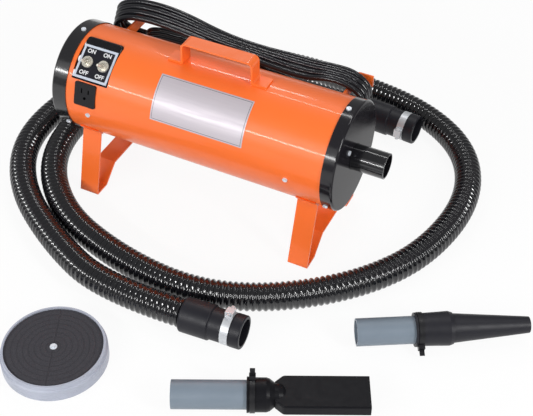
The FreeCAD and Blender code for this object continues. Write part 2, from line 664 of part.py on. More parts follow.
def screws():
    caps_held = [screw(f"cap_screw_{i}", x, angle, CAP_OUT) for i, (x, angle) in enumerate(CAP_SCREWS)]
    node("cap_screws", group("cap_screw_set", caps_held))
    rails_held = [screw(f"rail_screw_{i}", x, angle, TUBE) for i, (x, angle) in enumerate(RAIL_SCREWS)]
    node("rail_screws", group("rail_screw_set", rails_held))
    faces = []
    for j, side in enumerate((1, -1)):
        y, z = outlet_screw_spot(side)
        seat = f"{TUBE_END} + outlet_skirt"
        under = f"{seat} - screw_length"
        shank = cylinder(f"face_shank_{j}", "screw_shank_dia / 2", "screw_length", under, y, z, "x")
        head = cylinder(f"face_head_{j}", "screw_head_dia / 2", "screw_head_height", seat, y, z, "x")
        faces.append(fuse(f"face_screw_{j}", shank, head))
    node("outlet_screws", group("outlet_screw_set", faces))


def handle():
    """A bent strap with two tabs that lie on top of the tube."""
    half, thick = "handle_length / 2", "handle_strap"
    lift, low = "(tube_dia / 2 + handle_height)", "tube_dia / 2 - handle_strap"
    tab = f"({half} + handle_tab)"
    top = f"(tube_dia / 2 + {thick})"
    blank = padded("handle_blank", [
        (f"-{tab}", low), (f"-{tab}", top), (f"-{half}", top), (f"-{half}", lift), (half, lift), (half, top),
        (tab, top), (tab, low), (f"{half} - {thick}", low), (f"{half} - {thick}", f"{lift} - {thick}"),
        (f"-({half} - {thick})", f"{lift} - {thick}"), (f"-({half} - {thick})", low)], "handle_width")
    high = v.tube_dia / 2 + v.handle_height
    for level, radius in ((high, "handle_round"), (high - v.handle_strap, "handle_round - handle_strap")):
        rounded(blank, radius, lambda e: straight(e, AXIS_Y) and abs(e.CenterOfMass.z - level) < 1e-3)
    foot_level = v.tube_dia / 2 + v.handle_strap
    inner_x = v.handle_length / 2 + 1
    rounded(blank, "handle_strap", lambda e: straight(e, AXIS_Y) and abs(e.CenterOfMass.z - foot_level) < 1e-3
            and abs(e.CenterOfMass.x) < inner_x)
    move(blank, "handle_centre", "0", "axis_height")
    node("handle", cut("handle_cut", blank, round_tube("handle_fit", "cap_gap")))


def foot(name, side):
    """A strap bent into a foot, with flanges that hug the underside of the tube."""
    lean = "(foot_half_depth - foot_top_half) / foot_top_height"
    thick = "foot_strap"
    wall = f"foot_strap * sqrt(1 + ({lean}) ^ 2)"
    above = "(axis_height + foot_top_height) / 2"
    top_y = f"(foot_half_depth - {above} * {lean})"
    pad_y, flat_y = "(foot_half_depth - foot_pad)", "(foot_half_depth - foot_pad - foot_ramp)"
    in_y = f"(foot_half_depth - {wall} - {thick} * {lean})"
    front = [(f"-{top_y}", above), ("-foot_half_depth", "0"), (f"-{pad_y}", "0"), (f"-{flat_y}", "foot_rise")]
    rear = [(flat_y, "foot_rise"), (pad_y, "0"), ("foot_half_depth", "0"), (top_y, above)]
    shift = "foot_strap / 2"
    inner_rear = [(f"{top_y} - {wall}", above), (in_y, thick), (f"{pad_y} + {shift}", thick),
                  (f"{flat_y} + {shift}", f"foot_rise + {thick}")]
    inner_front = [(f"-({flat_y} + {shift})", f"foot_rise + {thick}"), (f"-({pad_y} + {shift})", thick),
                   (f"-{in_y}", thick), (f"-({top_y} - {wall})", above)]
    blank = padded(f"{name}_blank", front + rear + inner_rear + inner_front, "foot_width", "YZ_Plane")
    reach = v.foot_half_depth - 1
    rounded(blank, "foot_round", lambda e: straight(e, AXIS_X) and e.CenterOfMass.z < 1e-3
            and abs(e.CenterOfMass.y) > reach)
    x = f"{side} * foot_spacing / 2"
    move(blank, x)
    strap = cut(f"{name}_strap", blank, round_tube(f"{name}_fit", "cap_gap"))
    skin = tube_skin(f"{name}_skin", f"{TUBE} + cap_gap", f"{TUBE} + cap_gap + foot_flange", x, "foot_width")
    flanges = []
    for end, way in (("front", -1), ("rear", 1)):
        block = box(f"{name}_{end}_block", "foot_width", "foot_top_half", "2 * foot_flange_height", x,
                    f"{way} * (1.5 * foot_top_half - 2 * foot_strap)", "foot_top_height - foot_flange_height")
        flanges.append(common(f"{name}_{end}_flange", skin, block))
    node(name, fuse(f"{name}_fused", strap, *flanges))


def switch_panel():
    def in_panel(name, obj):
        return node(name, on_radius(obj, "panel_x", "panel_angle"))

    toggles = ("-toggle_spacing / 2", "toggle_spacing / 2")
    floor = "(panel_face - box_depth)"
    shell = panel_block("switch_box_blank", "0", floor, "panel_face")
    high = v.plate_height / 2 + v.box_above
    rounded(shell, "box_edge_round",
            lambda e: e.CenterOfMass.z > v.box_depth - 1e-3 and e.CenterOfMass.y > high - 1e-3)
    hollow = box("switch_box_hollow", "plate_width", "plate_height", "box_depth", z=f"{floor} - box_wall")
    bushes = [cylinder(f"box_bush_hole_{j}", "toggle_bush_dia / 2 + seat_gap", "2 * box_depth", x, "0", floor)
              for j, x in enumerate(toggles)]
    in_panel("switch_box", cut("switch_box_cut", shell, hollow, *bushes))

    plate = box("plate_blank", "plate_width", "plate_height", "plate_thickness", z="panel_face")
    holes = [cylinder(f"plate_hole_{j}", "toggle_bush_dia / 2 + seat_gap", "4 * plate_thickness", x, "0",
                      "panel_face - plate_thickness") for j, x in enumerate(toggles)]
    in_panel("switch_plate", cut("plate_cut", plate, *holes))
    legend = box("legend_blank", "plate_width - 2 * legend_border", "plate_height - 2 * legend_border",
                 "legend_thickness", z="panel_face + plate_thickness")
    holes = [cylinder(f"legend_hole_{j}", "nut_dia / 2 + seat_gap", "4 * plate_thickness", x, "0",
                      "panel_face") for j, x in enumerate(toggles)]
    in_panel("switch_legend", cut("legend_cut", legend, *holes))

    under = "(panel_face - box_wall)"
    mouth = "(panel_face + plate_thickness + toggle_bush_reach)"
    nuts = []
    for side, x in zip(("left", "right"), toggles):
        case = box(f"toggle_{side}_case", "toggle_body_width", "toggle_body_height",
                   "toggle_body_depth", x, "0", f"{under} - toggle_body_depth")
        bush = cylinder(f"toggle_{side}_bush", "toggle_bush_dia / 2", f"{mouth} - {under}", x, "0", under)
        lugs = [box(f"toggle_{side}_lug_{j}", "toggle_lug_thickness", "toggle_lug_width", "toggle_terminal",
                    x, f"{way} * toggle_lug_spacing / 2", f"{under} - toggle_body_depth - toggle_terminal")
                for j, way in enumerate((-1, 1))]
        bore = cylinder(f"toggle_{side}_bore", "toggle_bore_dia / 2", "2 * toggle_bore_depth", x, "0",
                        f"{mouth} - toggle_bore_depth")
        switch = fuse(f"toggle_{side}", case, bush, *lugs)
        in_panel(f"toggle_body_{side}", cut(f"toggle_{side}_cut", switch, bore))
        ring = cylinder(f"nut_{side}_out", "nut_dia / 2", "nut_thickness", x, "0",
                        "panel_face + plate_thickness")
        hole = cylinder(f"nut_{side}_in", "toggle_bush_dia / 2 + nut_fit", "4 * nut_thickness", x, "0",
                        "panel_face + plate_thickness - nut_thickness")
        nuts.append(cut(f"nut_{side}", ring, hole))
        toggle_lever(side, 1 if side == "right" else -1)
    in_panel("toggle_nuts", group("nut_set", nuts))


def toggle_pivot(side):
    """Where a lever turns, and the direction out of its bush."""
    lean = math.radians(v.panel_angle)
    out = Vector(0, -math.cos(lean), math.sin(lean))
    depth = v.panel_face + v.plate_thickness + v.toggle_bush_reach - v.lever_pivot_depth
    return Vector(v.panel_x + side * v.toggle_spacing / 2, 0, v.axis_height) + out * depth


def toggle_lever(side, sign):
    """A bat lever, stored in its lower, off position."""
    tip, root, reach = "lever_tip_dia / 2", "lever_root_dia / 2", "lever_reach"
    blank = turned(f"lever_{side}_blank", [
        ("0", f"-{root}"), (root, f"-{root}"), (root, "0"), (tip, f"{reach} - {tip}"),
        (f"{tip} * 0.72", f"{reach} - {tip} * 0.3"), (f"{tip} * 0.3", reach), ("0", reach)], "V_Axis")
    ball = doc.addObject("Part::Sphere", f"lever_{side}_ball")
    bind(ball, Radius="lever_ball_dia / 2")
    lever = fuse(f"lever_{side}", blank, ball)
    tilt = 90 - v.panel_angle + v.toggle_throw / 2
    lever.Placement = Placement(toggle_pivot(sign), Rotation(AXIS_X, tilt))
    node(f"toggle_lever_{side}", lever)


def receptacle():
    """A snap-in mains outlet for two flat blades and a ground pin."""
    face = "(tube_dia / 2 + socket_proud)"
    root = "(socket_proud + socket_depth / 3)"
    flange = round_plate("socket_flange", "socket_width", "socket_height", root, f"{face} - {root}",
                         "socket_round")
    skin = cylinder("socket_skin", "tube_dia / 2 + cap_gap", "tube_dia", "-tube_dia / 2", "0", "0", "x")
    saddle = cut("socket_saddle", flange, skin)
    body = box("socket_body", "socket_body_width", "socket_body_height", "socket_depth + socket_proud",
               z=f"{TUBE} - socket_depth")
    slots = [box(f"blade_slot_{j}", "blade_width", height, "2 * slot_depth", x, "ground_drop / 2",
                 f"{face} - slot_depth")
             for j, (x, height) in enumerate((("-blade_spacing / 2", "blade_height"),
                                              ("blade_spacing / 2", "live_blade_height")))]
    ground = cylinder("ground_hole", "ground_dia / 2", "2 * slot_depth", "0", "-ground_drop / 2",
                      f"{face} - slot_depth")
    whole = cut("socket_cut", fuse("socket_whole", saddle, body), *slots, ground)
    node("receptacle", on_radius(whole, "socket_x", "socket_angle"))


def label_plate():
    """A thin blank sheet that follows the tube."""
    under = "tube_dia / 2 + cap_gap"
    start = "-label_width / 2"
    skin = cylinder("label_out", f"{under} + label_thickness", "label_width", start, along="x")
    hollow = cylinder("label_in", under, "label_width + 2", f"{start} - 1", along="x")
    block = box("label_block", "label_width + 1", "label_height", "tube_dia", z="tube_dia / 4")
    piece = common("label_piece", cut("label_sleeve", skin, hollow), block)
    node("label_plate", on_radius(piece, "label_x", "label_angle"))


def cord_hook(name, x, side):
    """A strap welded to the rear of the tube, with a lip bent away from the cord."""
    near, far = x, f"({x} - {side} * hook_strap)"
    tip = f"({x} + {side} * (hook_lip - hook_strap))"
    root, reach = "tube_dia / 4", "hook_reach"
    outline = [(near, root), (near, reach), (tip, reach), (tip, f"{reach} + hook_strap"),
               (far, f"{reach} + hook_strap"), (far, root)]
    blank = padded(f"{name}_blank", outline, "hook_width", "XY_Plane")
    outer_x, outer_y = v.hook_left_x if side < 0 else v.hook_right_x, v.hook_reach + v.hook_strap

    def bend(edge):
        place = edge.CenterOfMass
        return straight(edge, AXIS_Z) and abs(place.y - outer_y) < 1e-3 and side * (place.x - outer_x) < 0

    rounded(blank, "hook_strap * 1.5", bend)
    move(blank, z="hook_top - hook_width / 2")
    node(name, cut(f"{name}_cut", blank, round_tube(f"{name}_fit", "cap_gap")))


# The cord's route, from the strain relief to the plug. The wound part lies between the two stretches.

def gland_point(reach):
    """A point on the strain relief's axis, as far outside the tube as reach."""
    angle = math.radians(v.gland_angle)
    radius = v.tube_dia / 2 + reach
    return Vector(v.gland_x, -radius * math.cos(angle), v.axis_height + radius * math.sin(angle))


def strain_relief():
    flange = cylinder("gland_flange", "gland_dia / 2", "gland_flange_thickness", z=TUBE)
    barrel = cylinder("gland_barrel", "gland_neck_dia / 2", "gland_grip", z=f"{TUBE} - gland_grip")
    taper = doc.addObject("Part::Cone", "gland_taper")
    bind(taper, Radius1="gland_neck_dia / 2", Radius2="cord_dia / 2 + gland_wall", Height="gland_reach")
    move(taper, z=TUBE)
    whole = fuse("gland_whole", flange, barrel, taper)
    node("strain_relief", on_radius(whole, "gland_x", "gland_angle"))


LEAD_ROUTE = [(-34, 182, 102), (-80, 180, 116), (-122, 158, 146), (-165, 128.8, 192.5)]
TAIL_ROUTE = [(221, 95.8, 166), (224, 97.5, 142)]
PLUG_TOP = Vector(224, 97.5, 118)
GLAND_RUN = 45

# The wound cord hangs loosely over the hooks. It has one entry for each turn, the rear one first.
WOUND = SimpleNamespace(
    rear_y=128.8, layer=11.0,
    left_x=(-254.0, -250.0, -246.0, -242.0), left_z=(223.0, 219.5, 216.0, 212.0), left_fold=30.5,
    left_top_x=-180.0, left_top_z=(257.0, 253.5, 250.0, 246.0),
    waist_x=0.0, waist_z=(232.0, 234.0, 234.0, 230.0), waist_slope=-0.06,
    sag_x=105.0, sag_z=(233.0, 231.5, 227.5, 224.0),
    right_top_x=172.0, right_top_z=(236.0, 235.5, 235.0, 234.5),
    right_x=(218.0, 219.0, 220.0, 221.0), right_z=200.0, right_fold=34.0,
    under_x=-60.0, under_z=216.0, under_slope=-0.037, rise=58.0)


def hank_corners():
    """Points and headings of the wound cord: the turns lie a layer nearer the tube each time."""
    w = WOUND
    up, down, onward, back = AXIS_Z, -AXIS_Z, AXIS_X, -AXIS_X
    low_z = [z - w.left_fold for z in w.left_z]
    corners = [(Vector(w.left_x[0] + w.left_fold + v.cord_dia, w.rear_y, low_z[0]), back)]
    turns = len(w.left_x)
    for turn in range(turns):
        y = w.rear_y - w.layer * turn
        corners += [(Vector(w.left_x[turn] + w.left_fold, y, low_z[turn]), back),
                    (Vector(w.left_x[turn], y, w.left_z[turn]), up),
                    (Vector(w.left_top_x, y, w.left_top_z[turn]), onward),
                    (Vector(w.waist_x, y, w.waist_z[turn]), Vector(1, 0, w.waist_slope).normalize()),
                    (Vector(w.sag_x, y, w.sag_z[turn]), onward),
                    (Vector(w.right_top_x, y, w.right_top_z[turn]), onward),
                    (Vector(w.right_x[turn], y, w.right_z), down)]
        if turn < turns - 1:
            next_y = y - w.layer
            climbing = Vector(-1, w.under_slope, 0).normalize()
            corners += [(Vector(w.right_x[0] - w.right_fold, y, w.right_z - w.right_fold), back),
                        (Vector(w.under_x, (y + next_y) / 2, w.under_z), climbing),
                        (Vector(w.left_x[turn + 1] + w.left_fold + w.rise, next_y, w.under_z), back)]
    last, heading = corners[-1]
    corners.append((last + heading * v.cord_dia, heading))
    return corners


def biarc(start, heading, end, final):
    """Two arcs, or lines, that join two points smoothly with the given headings."""
    chord = end - start
    total = heading + final
    b = chord.dot(total)
    a = 2 * (1 - heading.dot(final))
    c = -chord.dot(chord)
    reach = -c / (2 * b) if abs(a) < 1e-9 else (-b + math.sqrt(b * b - a * c)) / a
    joint = (start + end + (heading - final) * reach) / 2
    return [arc_from(start, heading, joint), arc_from(end, -final, joint)]


def arc_from(point, heading, end):
    """The arc, or line, that leaves the point along the heading and reaches the end."""
    chord = end - point
    across = chord - heading * chord.dot(heading)
    if across.Length < 1e-6:
        return Part.LineSegment(point, end)
    radius = chord.dot(chord) / (2 * across.Length)
    inward = Vector(across).normalize()
    centre = point + inward * radius
    turn = math.atan2(chord.dot(heading), radius - across.Length)
    middle = centre - inward * radius * math.cos(turn / 2) + heading * radius * math.sin(turn / 2)
    return Part.Arc(point, middle, end)


def smooth_path(corners):
    edges = []
    for (start, heading), (end, final) in zip(corners, corners[1:]):
        ahead = (end - start).normalize()
        in_line = ahead.cross(heading).Length < 1e-9 and heading.cross(final).Length < 1e-9
        edges += [Part.LineSegment(start, end)] if in_line else biarc(start, heading, end, final)
    return edges


def swept(name, edges, radius):
    """One unbroken round tube along the joined edges."""
    path = Part.Wire([edge.toShape() for edge in edges])
    first = path.Edges[0]
    start, heading = first.valueAt(first.FirstParameter), first.tangentAt(first.FirstParameter)
    section = Part.Wire(Part.Circle(start, heading, radius).toShape())
    shell = Part.BRepOffsetAPI.MakePipeShell(path)
    shell.add(section)
    shell.build()
    shell.makeSolid()
    obj = doc.addObject("Part::Feature", name)
    obj.Shape = shell.shape()
    share = obj.Shape.Volume / (math.pi * radius ** 2 * path.Length)
    print(f"{name}: length {path.Length:.0f}, volume over section times length {share:.4f}")
    return obj, path


def least_gap(path, diameter):
    """Smallest gap of a wound tube to itself, from points along its centre line."""
    step = 4.0
    points = path.discretize(Distance=step)
    apart = int(math.pi * diameter / step) + 1
    gap = min(points[i].distanceToPoint(points[j]) for i in range(len(points))
              for j in range(i + apart, len(points)))
    return gap - diameter


def route_edges(points, name):
    """Straight runs joined by arcs as large as their runs allow."""
    share = 0.45
    edges, radii, begin = [], [], points[0]
    for before, corner, after in zip(points, points[1:], points[2:]):
        one, two = (before - corner), (after - corner)
        shorter = min(one.Length, two.Length)
        inward = [Vector(one).normalize(), Vector(two).normalize()]
        half_turn = (math.pi - inward[0].getAngle(inward[1])) / 2
        radii.append(share * shorter / math.tan(half_turn))
        enter, leave = corner + inward[0] * share * shorter, corner + inward[1] * share * shorter
        bisector = (inward[0] + inward[1]).normalize()
        middle = corner + bisector * radii[-1] * (1 / math.cos(half_turn) - 1)
        edges += [Part.LineSegment(begin, enter), Part.Arc(enter, middle, leave)]
        begin = leave
    edges.append(Part.LineSegment(begin, points[-1]))
    print(f"{name}: radii", [round(r) for r in radii])
    return edges


def power_cord():
    corners = hank_corners()
    hank, path = swept("cord_hank", smooth_path(corners), v.cord_dia / 2)
    print(f"cord_hank: least gap to itself {least_gap(path, v.cord_dia):.2f}")
    node("power_cord_hank", hank)
    lead = [gland_point(v.gland_reach), gland_point(v.gland_reach + GLAND_RUN)]
    lead += [Vector(*p) for p in LEAD_ROUTE] + [corners[0][0]]
    node("power_cord_lead", swept("cord_lead", route_edges(lead, "cord_lead"), v.cord_dia / 2)[0])
    tail = [corners[-1][0]] + [Vector(*p) for p in TAIL_ROUTE] + [PLUG_TOP]
    node("power_cord_tail", swept("cord_tail", route_edges(tail, "cord_tail"), v.cord_dia / 2)[0])


def plug():
    """A moulded plug that hangs with its blades down."""
    grip = box("plug_grip", "plug_width", "plug_thickness", "plug_length - plug_neck_length",
               z="-plug_length")
    neck = doc.addObject("Part::Cone", "plug_neck")
    bind(neck, Radius1="plug_thickness / 2", Radius2="cord_dia / 2 + gland_wall", Height="plug_neck_length")
    move(neck, z="-plug_neck_length")
    whole = fuse("plug_whole", grip, neck)
    whole.Placement = Placement(PLUG_TOP, Rotation())
    node("plug_body", whole)
    pins = [box(f"plug_blade_{j}", "plug_blade_thickness", "plug_blade_width", "plug_blade_length", x,
                "-ground_drop / 2", "-plug_length - plug_blade_length")
            for j, x in enumerate(("-blade_spacing / 2", "blade_spacing / 2"))]
    pins.append(cylinder("plug_pin", "plug_pin_dia / 2", "plug_blade_length + plug_pin_extra", "0",
                         "ground_drop / 2", "-plug_length - plug_blade_length - plug_pin_extra"))
    blades = group("plug_blade_set", pins)
    blades.Placement = Placement(PLUG_TOP, Rotation())
    node("plug_blades", blades)


HOSE_ROUTE = [
    (20, 303), (-121, 283), (-238, 201), (-313, 70), (-296, -72), (-198, -177), (-63, -229), (80, -243.5),
    (199, -202), (311, -114), (383, -2), (407, 149), (362.5, 270.6), (255.6, 345), (108, 370), (-41, 376),
    (-186, 332), (-297, 237), (-358, 105), (-366, -43), (-298, -158), (-171, -244), (-40, -299.5)]
HOSE_LIFT = 0.1

# One rib of the hose: shares of its pitch, and whether the circle there is on top of the rib.
RIB_SHAPE = [(0.15, False), (0.35, True), (0.65, True), (0.85, False)]


def cuff_heading(x, y, point):
    """The cuff looks straight away from the hose's nearest route point."""
    return math.degrees(math.atan2(y - point[1], x - point[0]))


def hose():
    """A ribbed hose with its bore: a ruled loft through four circles for each rib."""
    low, high = v.hose_dia / 2 + HOSE_LIFT, v.cuff_dia / 2
    points = [Vector(x, y, low) for x, y in HOSE_ROUTE]
    points[0].z = points[-1].z = high
    points = [Vector(v.cuff_1_x, v.cuff_1_y, high)] + points + [Vector(v.cuff_2_x, v.cuff_2_y, high)]
    path = Part.Wire([edge.toShape() for edge in route_edges(points, "hose")])
    outer, inner = v.hose_dia / 2, v.hose_dia / 2 - v.hose_rib_depth
    plain = v.hose_dia
    count = int(v.hose_rib_count)
    pitch = (path.Length - 2 * plain) / count
    places = [(0.0, inner)]
    for rib in range(count):
        start = plain + rib * pitch
        places += [(start + pitch * share, outer if on_top else inner) for share, on_top in RIB_SHAPE]
    places.append((path.Length, inner))
    ribs = Part.makeLoft(circles_along(path, places), True, True)
    bore_places = [(path.Length * i / (2 * count), v.hose_bore / 2) for i in range(2 * count + 1)]
    bore = Part.makeLoft(circles_along(path, bore_places), True, True)
    obj = doc.addObject("Part::Feature", "hose_ribs")
    obj.Shape = ribs.cut(bore)
    print(f"hose: length {path.Length:.0f}, {count} ribs, pitch {pitch:.1f}")
    node("hose", obj)


def circles_along(path, places):
    """Circles square to the path, each with its start on one steady side."""
    edges, starts, total = path.OrderedEdges, [], 0.0
    for edge in edges:
        starts.append(total)
        total += edge.Length
    wires, index = [], 0
    for distance, radius in places:
        while index + 1 < len(edges) and distance > starts[index + 1]:
            index += 1
        edge = edges[index]
        flipped = edge.Orientation == "Reversed"
        along = min(distance - starts[index], edge.Length)
        parameter = edge.getParameterByLength(edge.Length - along if flipped else along)
        centre, heading = edge.valueAt(parameter), edge.tangentAt(parameter)
        side = AXIS_Z.cross(heading).normalize()
        turn = Rotation(side, heading.cross(side), heading, "ZXY")
        ring = Part.Wire(Part.Circle(Vector(), AXIS_Z, radius).toShape())
        ring.Placement = Placement(centre, turn)
        wires.append(ring)
    return wires


def cuff(number, x, y, point, roll):
    """A rubber cuff: a wide end over the hose and a sleeve that slips over a pipe."""
    heading = cuff_heading(x, y, point)
    step, end = "cuff_length", "(cuff_length + sleeve_length)"
    bore = "(pipe_dia / 2 + sleeve_fit)"
    blank = turned(f"cuff_{number}_blank", [
        ("0", "hose_bore / 2"), ("0", "cuff_dia / 2"), (step, "cuff_dia / 2"),
        (f"{step} + cuff_step_slope", "sleeve_dia / 2"), (f"{end} - sleeve_lip_length", "sleeve_dia / 2"),
        (f"{end} - sleeve_lip_length + (sleeve_lip_dia - sleeve_dia) / 2", "sleeve_lip_dia / 2"),
        (end, "sleeve_lip_dia / 2"), (end, bore), (step, bore), (step, "hose_bore / 2")])
    for place, radius, size in ((0.0, v.cuff_dia / 2, "cuff_end_round"),
                                (v.cuff_length, v.cuff_dia / 2, "cuff_step_round"),
                                (v.cuff_length + v.sleeve_length, v.sleeve_lip_dia / 2, "sleeve_end_round")):
        rounded(blank, size, lambda e: ring_edge(e, radius, place))
    origin = (x, y, v.cuff_dia / 2)
    on_floor(blank, origin, heading)
    node(f"hose_cuff_{number}", blank)
    place = "(cuff_length + clamp_place)"
    inside = "(sleeve_dia / 2 + clamp_fit)"
    edge = f"{place} - clamp_width / 2"
    ring_out = cylinder(f"band_{number}_out", f"{inside} + clamp_band", "clamp_width", edge, along="x")
    ring_in = cylinder(f"band_{number}_in", inside, "clamp_width + 2", f"{edge} - 1", along="x")
    band = on_floor(cut(f"band_{number}", ring_out, ring_in), origin, heading, roll)
    low = f"({inside} + clamp_band)"
    centre = f"({low} + clamp_head_lift + clamp_head_dia / 2)"
    block = box(f"housing_{number}_block", "clamp_width", "clamp_housing_length", "clamp_housing_height",
                place, "0", f"{low} - clamp_housing_foot")
    under = cylinder(f"housing_{number}_under", f"{low} + clamp_fit", "2 * clamp_width",
                     f"{place} - clamp_width", along="x")
    tunnel = cylinder(f"housing_{number}_tunnel", "clamp_screw_dia / 2 + clamp_screw_fit",
                      "2 * clamp_housing_length", place, "-clamp_housing_length", centre, "y")
    housing = on_floor(cut(f"housing_{number}", block, under, tunnel), origin, heading, roll)
    stem = cylinder(f"worm_{number}_stem", "clamp_screw_dia / 2", "clamp_screw_length", place,
                    "-clamp_screw_length / 2", centre, "y")
    head = cylinder(f"worm_{number}_head", "clamp_head_dia / 2", "clamp_head_length", place,
                    "clamp_housing_length / 2 + clamp_head_gap", centre, "y")
    slot = box(f"worm_{number}_slot", "2 * clamp_head_dia", "2 * clamp_slot_depth", "clamp_slot_width", place,
               "clamp_screw_length / 2", f"{centre} - clamp_slot_width / 2")
    slotted = cut(f"worm_{number}", fuse(f"worm_{number}_whole", stem, head), slot)
    worm = on_floor(slotted, origin, heading, roll)
    node(f"clamp_screw_{number}", worm)
    return band, housing


NOZZLE_SEAT = "(pipe_dia / 2 - nozzle_tube_step + nozzle_tube_fit)"


def nozzle_tube(name, shown, inset, origin, heading):
    """A plastic tube whose inner end is a little thinner and sits in the nozzle's collar."""
    end, bore = f"({shown} + {inset})", "pipe_dia / 2 - nozzle_tube_wall"
    outside, thinner = "pipe_dia / 2", "pipe_dia / 2 - nozzle_tube_step"
    tube = turned(f"{name}_blank", [
        ("0", bore), ("0", outside), (shown, outside), (shown, thinner), (end, thinner), (end, bore)])
    node(name, on_floor(tube, origin, heading))


def collar_lip(start, radius):
    """The bead at the mouth of a nozzle's collar, as corners of its outline."""
    return [(start, f"{radius} + nozzle_lip"), (f"{start} + nozzle_lip_length", f"{radius} + nozzle_lip"),
            (f"{start} + nozzle_lip_length + nozzle_lip / 2", radius)]


def tie_lift():
    """A nozzle lies on the tie round its collar."""
    return v.tie_fit + v.tie_thickness


def tie(number, place, radius, origin, heading, roll):
    """A cable tie round a collar, with its head and cut tail."""
    inside = f"({radius} + tie_fit)"
    ring = cylinder(f"tie_{number}_out", f"{inside} + tie_thickness", "tie_width", f"{place} - tie_width / 2",
                    along="x")
    hole = cylinder(f"tie_{number}_in", inside, "tie_width + 2", f"{place} - tie_width / 2 - 1", along="x")
    head = box(f"tie_{number}_head", "tie_width + 2 * tie_head_border", "tie_head", "tie_head_height",
               place, "0", f"{inside} + tie_thickness / 2")
    tail = box(f"tie_{number}_tail", "tie_width", "tie_thickness", "tie_tail", place, "0",
               f"{inside} + tie_head_height")
    whole = fuse(f"tie_{number}", cut(f"tie_{number}_ring", ring, hole), head, tail)
    return on_floor(whole, origin, heading, roll)


def cone_nozzle():
    origin, heading = (v.cone_x, v.cone_y, v.cone_collar_dia / 2 + tie_lift()), v.cone_heading
    nozzle_tube("cone_nozzle_tube", "cone_tube_shown", "cone_tube_inset", origin, heading)
    start, step = "cone_tube_shown", "(cone_tube_shown + cone_collar_length)"
    tip = f"({step} + cone_length)"
    stop = "(cone_tube_shown + cone_tube_inset + seat_gap)"
    blank = turned("cone_nozzle_blank", [
        (start, NOZZLE_SEAT), *collar_lip(start, "cone_collar_dia / 2"),
        (f"{start} + cone_collar_plain", "cone_collar_dia / 2"),
        (f"{step} - cone_collar_shoulder", "cone_collar_swell / 2"),
        (step, "cone_collar_swell / 2 - cone_collar_shoulder / 3"), (step, "cone_root_dia / 2"),
        (tip, "cone_tip_dia / 2"), (tip, "cone_tip_dia / 2 - nozzle_wall"),
        (step, "cone_root_dia / 2 - 2 * nozzle_wall"), (stop, "pipe_dia / 2 - nozzle_tube_wall"),
        (stop, NOZZLE_SEAT)])
    end = v.cone_tube_shown + v.cone_collar_length + v.cone_length
    rounded(blank, "cone_tip_round", lambda e: ring_edge(e, v.cone_tip_dia / 2, end))
    node("cone_nozzle", on_floor(blank, origin, heading))
    return tie(1, f"{start} + tie_place", "cone_collar_dia / 2", origin, heading, -22.0)


# The rounded end of the flat nozzle's collar: shares of the neck's length and of the collar's radius.
DOME_SHAPE = [(0.4, 0.93), (0.75, 0.8)]
# The dome's run-out on the flat body: shares of its reach and of the neck's radius.
DOME_END = [(0.35, 0.93), (0.7, 0.78)]


def flat_nozzle():
    origin, heading = (v.flat_x, v.flat_y, v.flat_collar_dia / 2 + tie_lift()), v.flat_heading
    nozzle_tube("flat_nozzle_tube", "flat_tube_shown", "flat_tube_inset", origin, heading)
    start, waist = "flat_tube_shown", "(flat_tube_shown + flat_collar_length + flat_neck_length)"
    dome = "(flat_tube_shown + flat_collar_length)"
    inside = f"{waist} + flat_dome_reach"
    collar = turned("flat_collar_blank", [
        (start, "0"), *collar_lip(start, "flat_collar_dia / 2"), (dome, "flat_collar_dia / 2"),
        *((f"{dome} + flat_neck_length * {along}", f"flat_collar_dia / 2 * {wide}")
          for along, wide in DOME_SHAPE),
        (waist, "flat_neck_dia / 2"),
        *((f"{waist} + flat_dome_reach * {along}", f"flat_neck_dia / 2 * {wide}") for along, wide in DOME_END),
        (inside, "flat_body_height / 2 - nozzle_wall / 2"), (inside, "0")])
    far, half = f"({waist} + flat_body_length)", "flat_body_width / 2"
    slab = padded("flat_body_blank", [
        (waist, "-flat_neck_dia / 2"), (f"{waist} + flat_shoulder", f"-{half}"), (far, f"-{half}"),
        (far, half), (f"{waist} + flat_shoulder", half), (waist, "flat_neck_dia / 2")],
        "flat_body_height", "XY_Plane")
    corner = v.flat_tube_shown + v.flat_collar_length + v.flat_neck_length + v.flat_shoulder
    rounded(slab, "flat_shoulder_round",
            lambda e: straight(e, AXIS_Z) and abs(e.CenterOfMass.x - corner) < 1e-3)
    rounded(slab, "flat_body_round", lambda e: straight(e, AXIS_X))
    whole = fuse("flat_whole", collar, slab)
    socket = cylinder("flat_socket", NOZZLE_SEAT, "flat_tube_inset + seat_gap + 1", f"{start} - 1", along="x")
    clear = "flat_body_height / 2 - nozzle_wall"
    throat = cylinder("flat_throat", clear, f"{waist} - {start}", start, along="x")
    mouth = box("flat_mouth", "flat_body_length", "flat_body_width - 2 * nozzle_wall",
                "flat_body_height - 2 * nozzle_wall", f"{far} - flat_body_length / 2 + flat_shoulder", "0",
                "-(flat_body_height / 2 - nozzle_wall)")
    bridge = cylinder("flat_bridge", clear, "2 * flat_shoulder", f"{waist} - nozzle_wall", along="x")
    node("flat_nozzle", on_floor(cut("flat_cut", whole, socket, throat, mouth, bridge), origin, heading))
    return tie(2, f"{start} + tie_place", "flat_collar_dia / 2", origin, heading, 118.0)


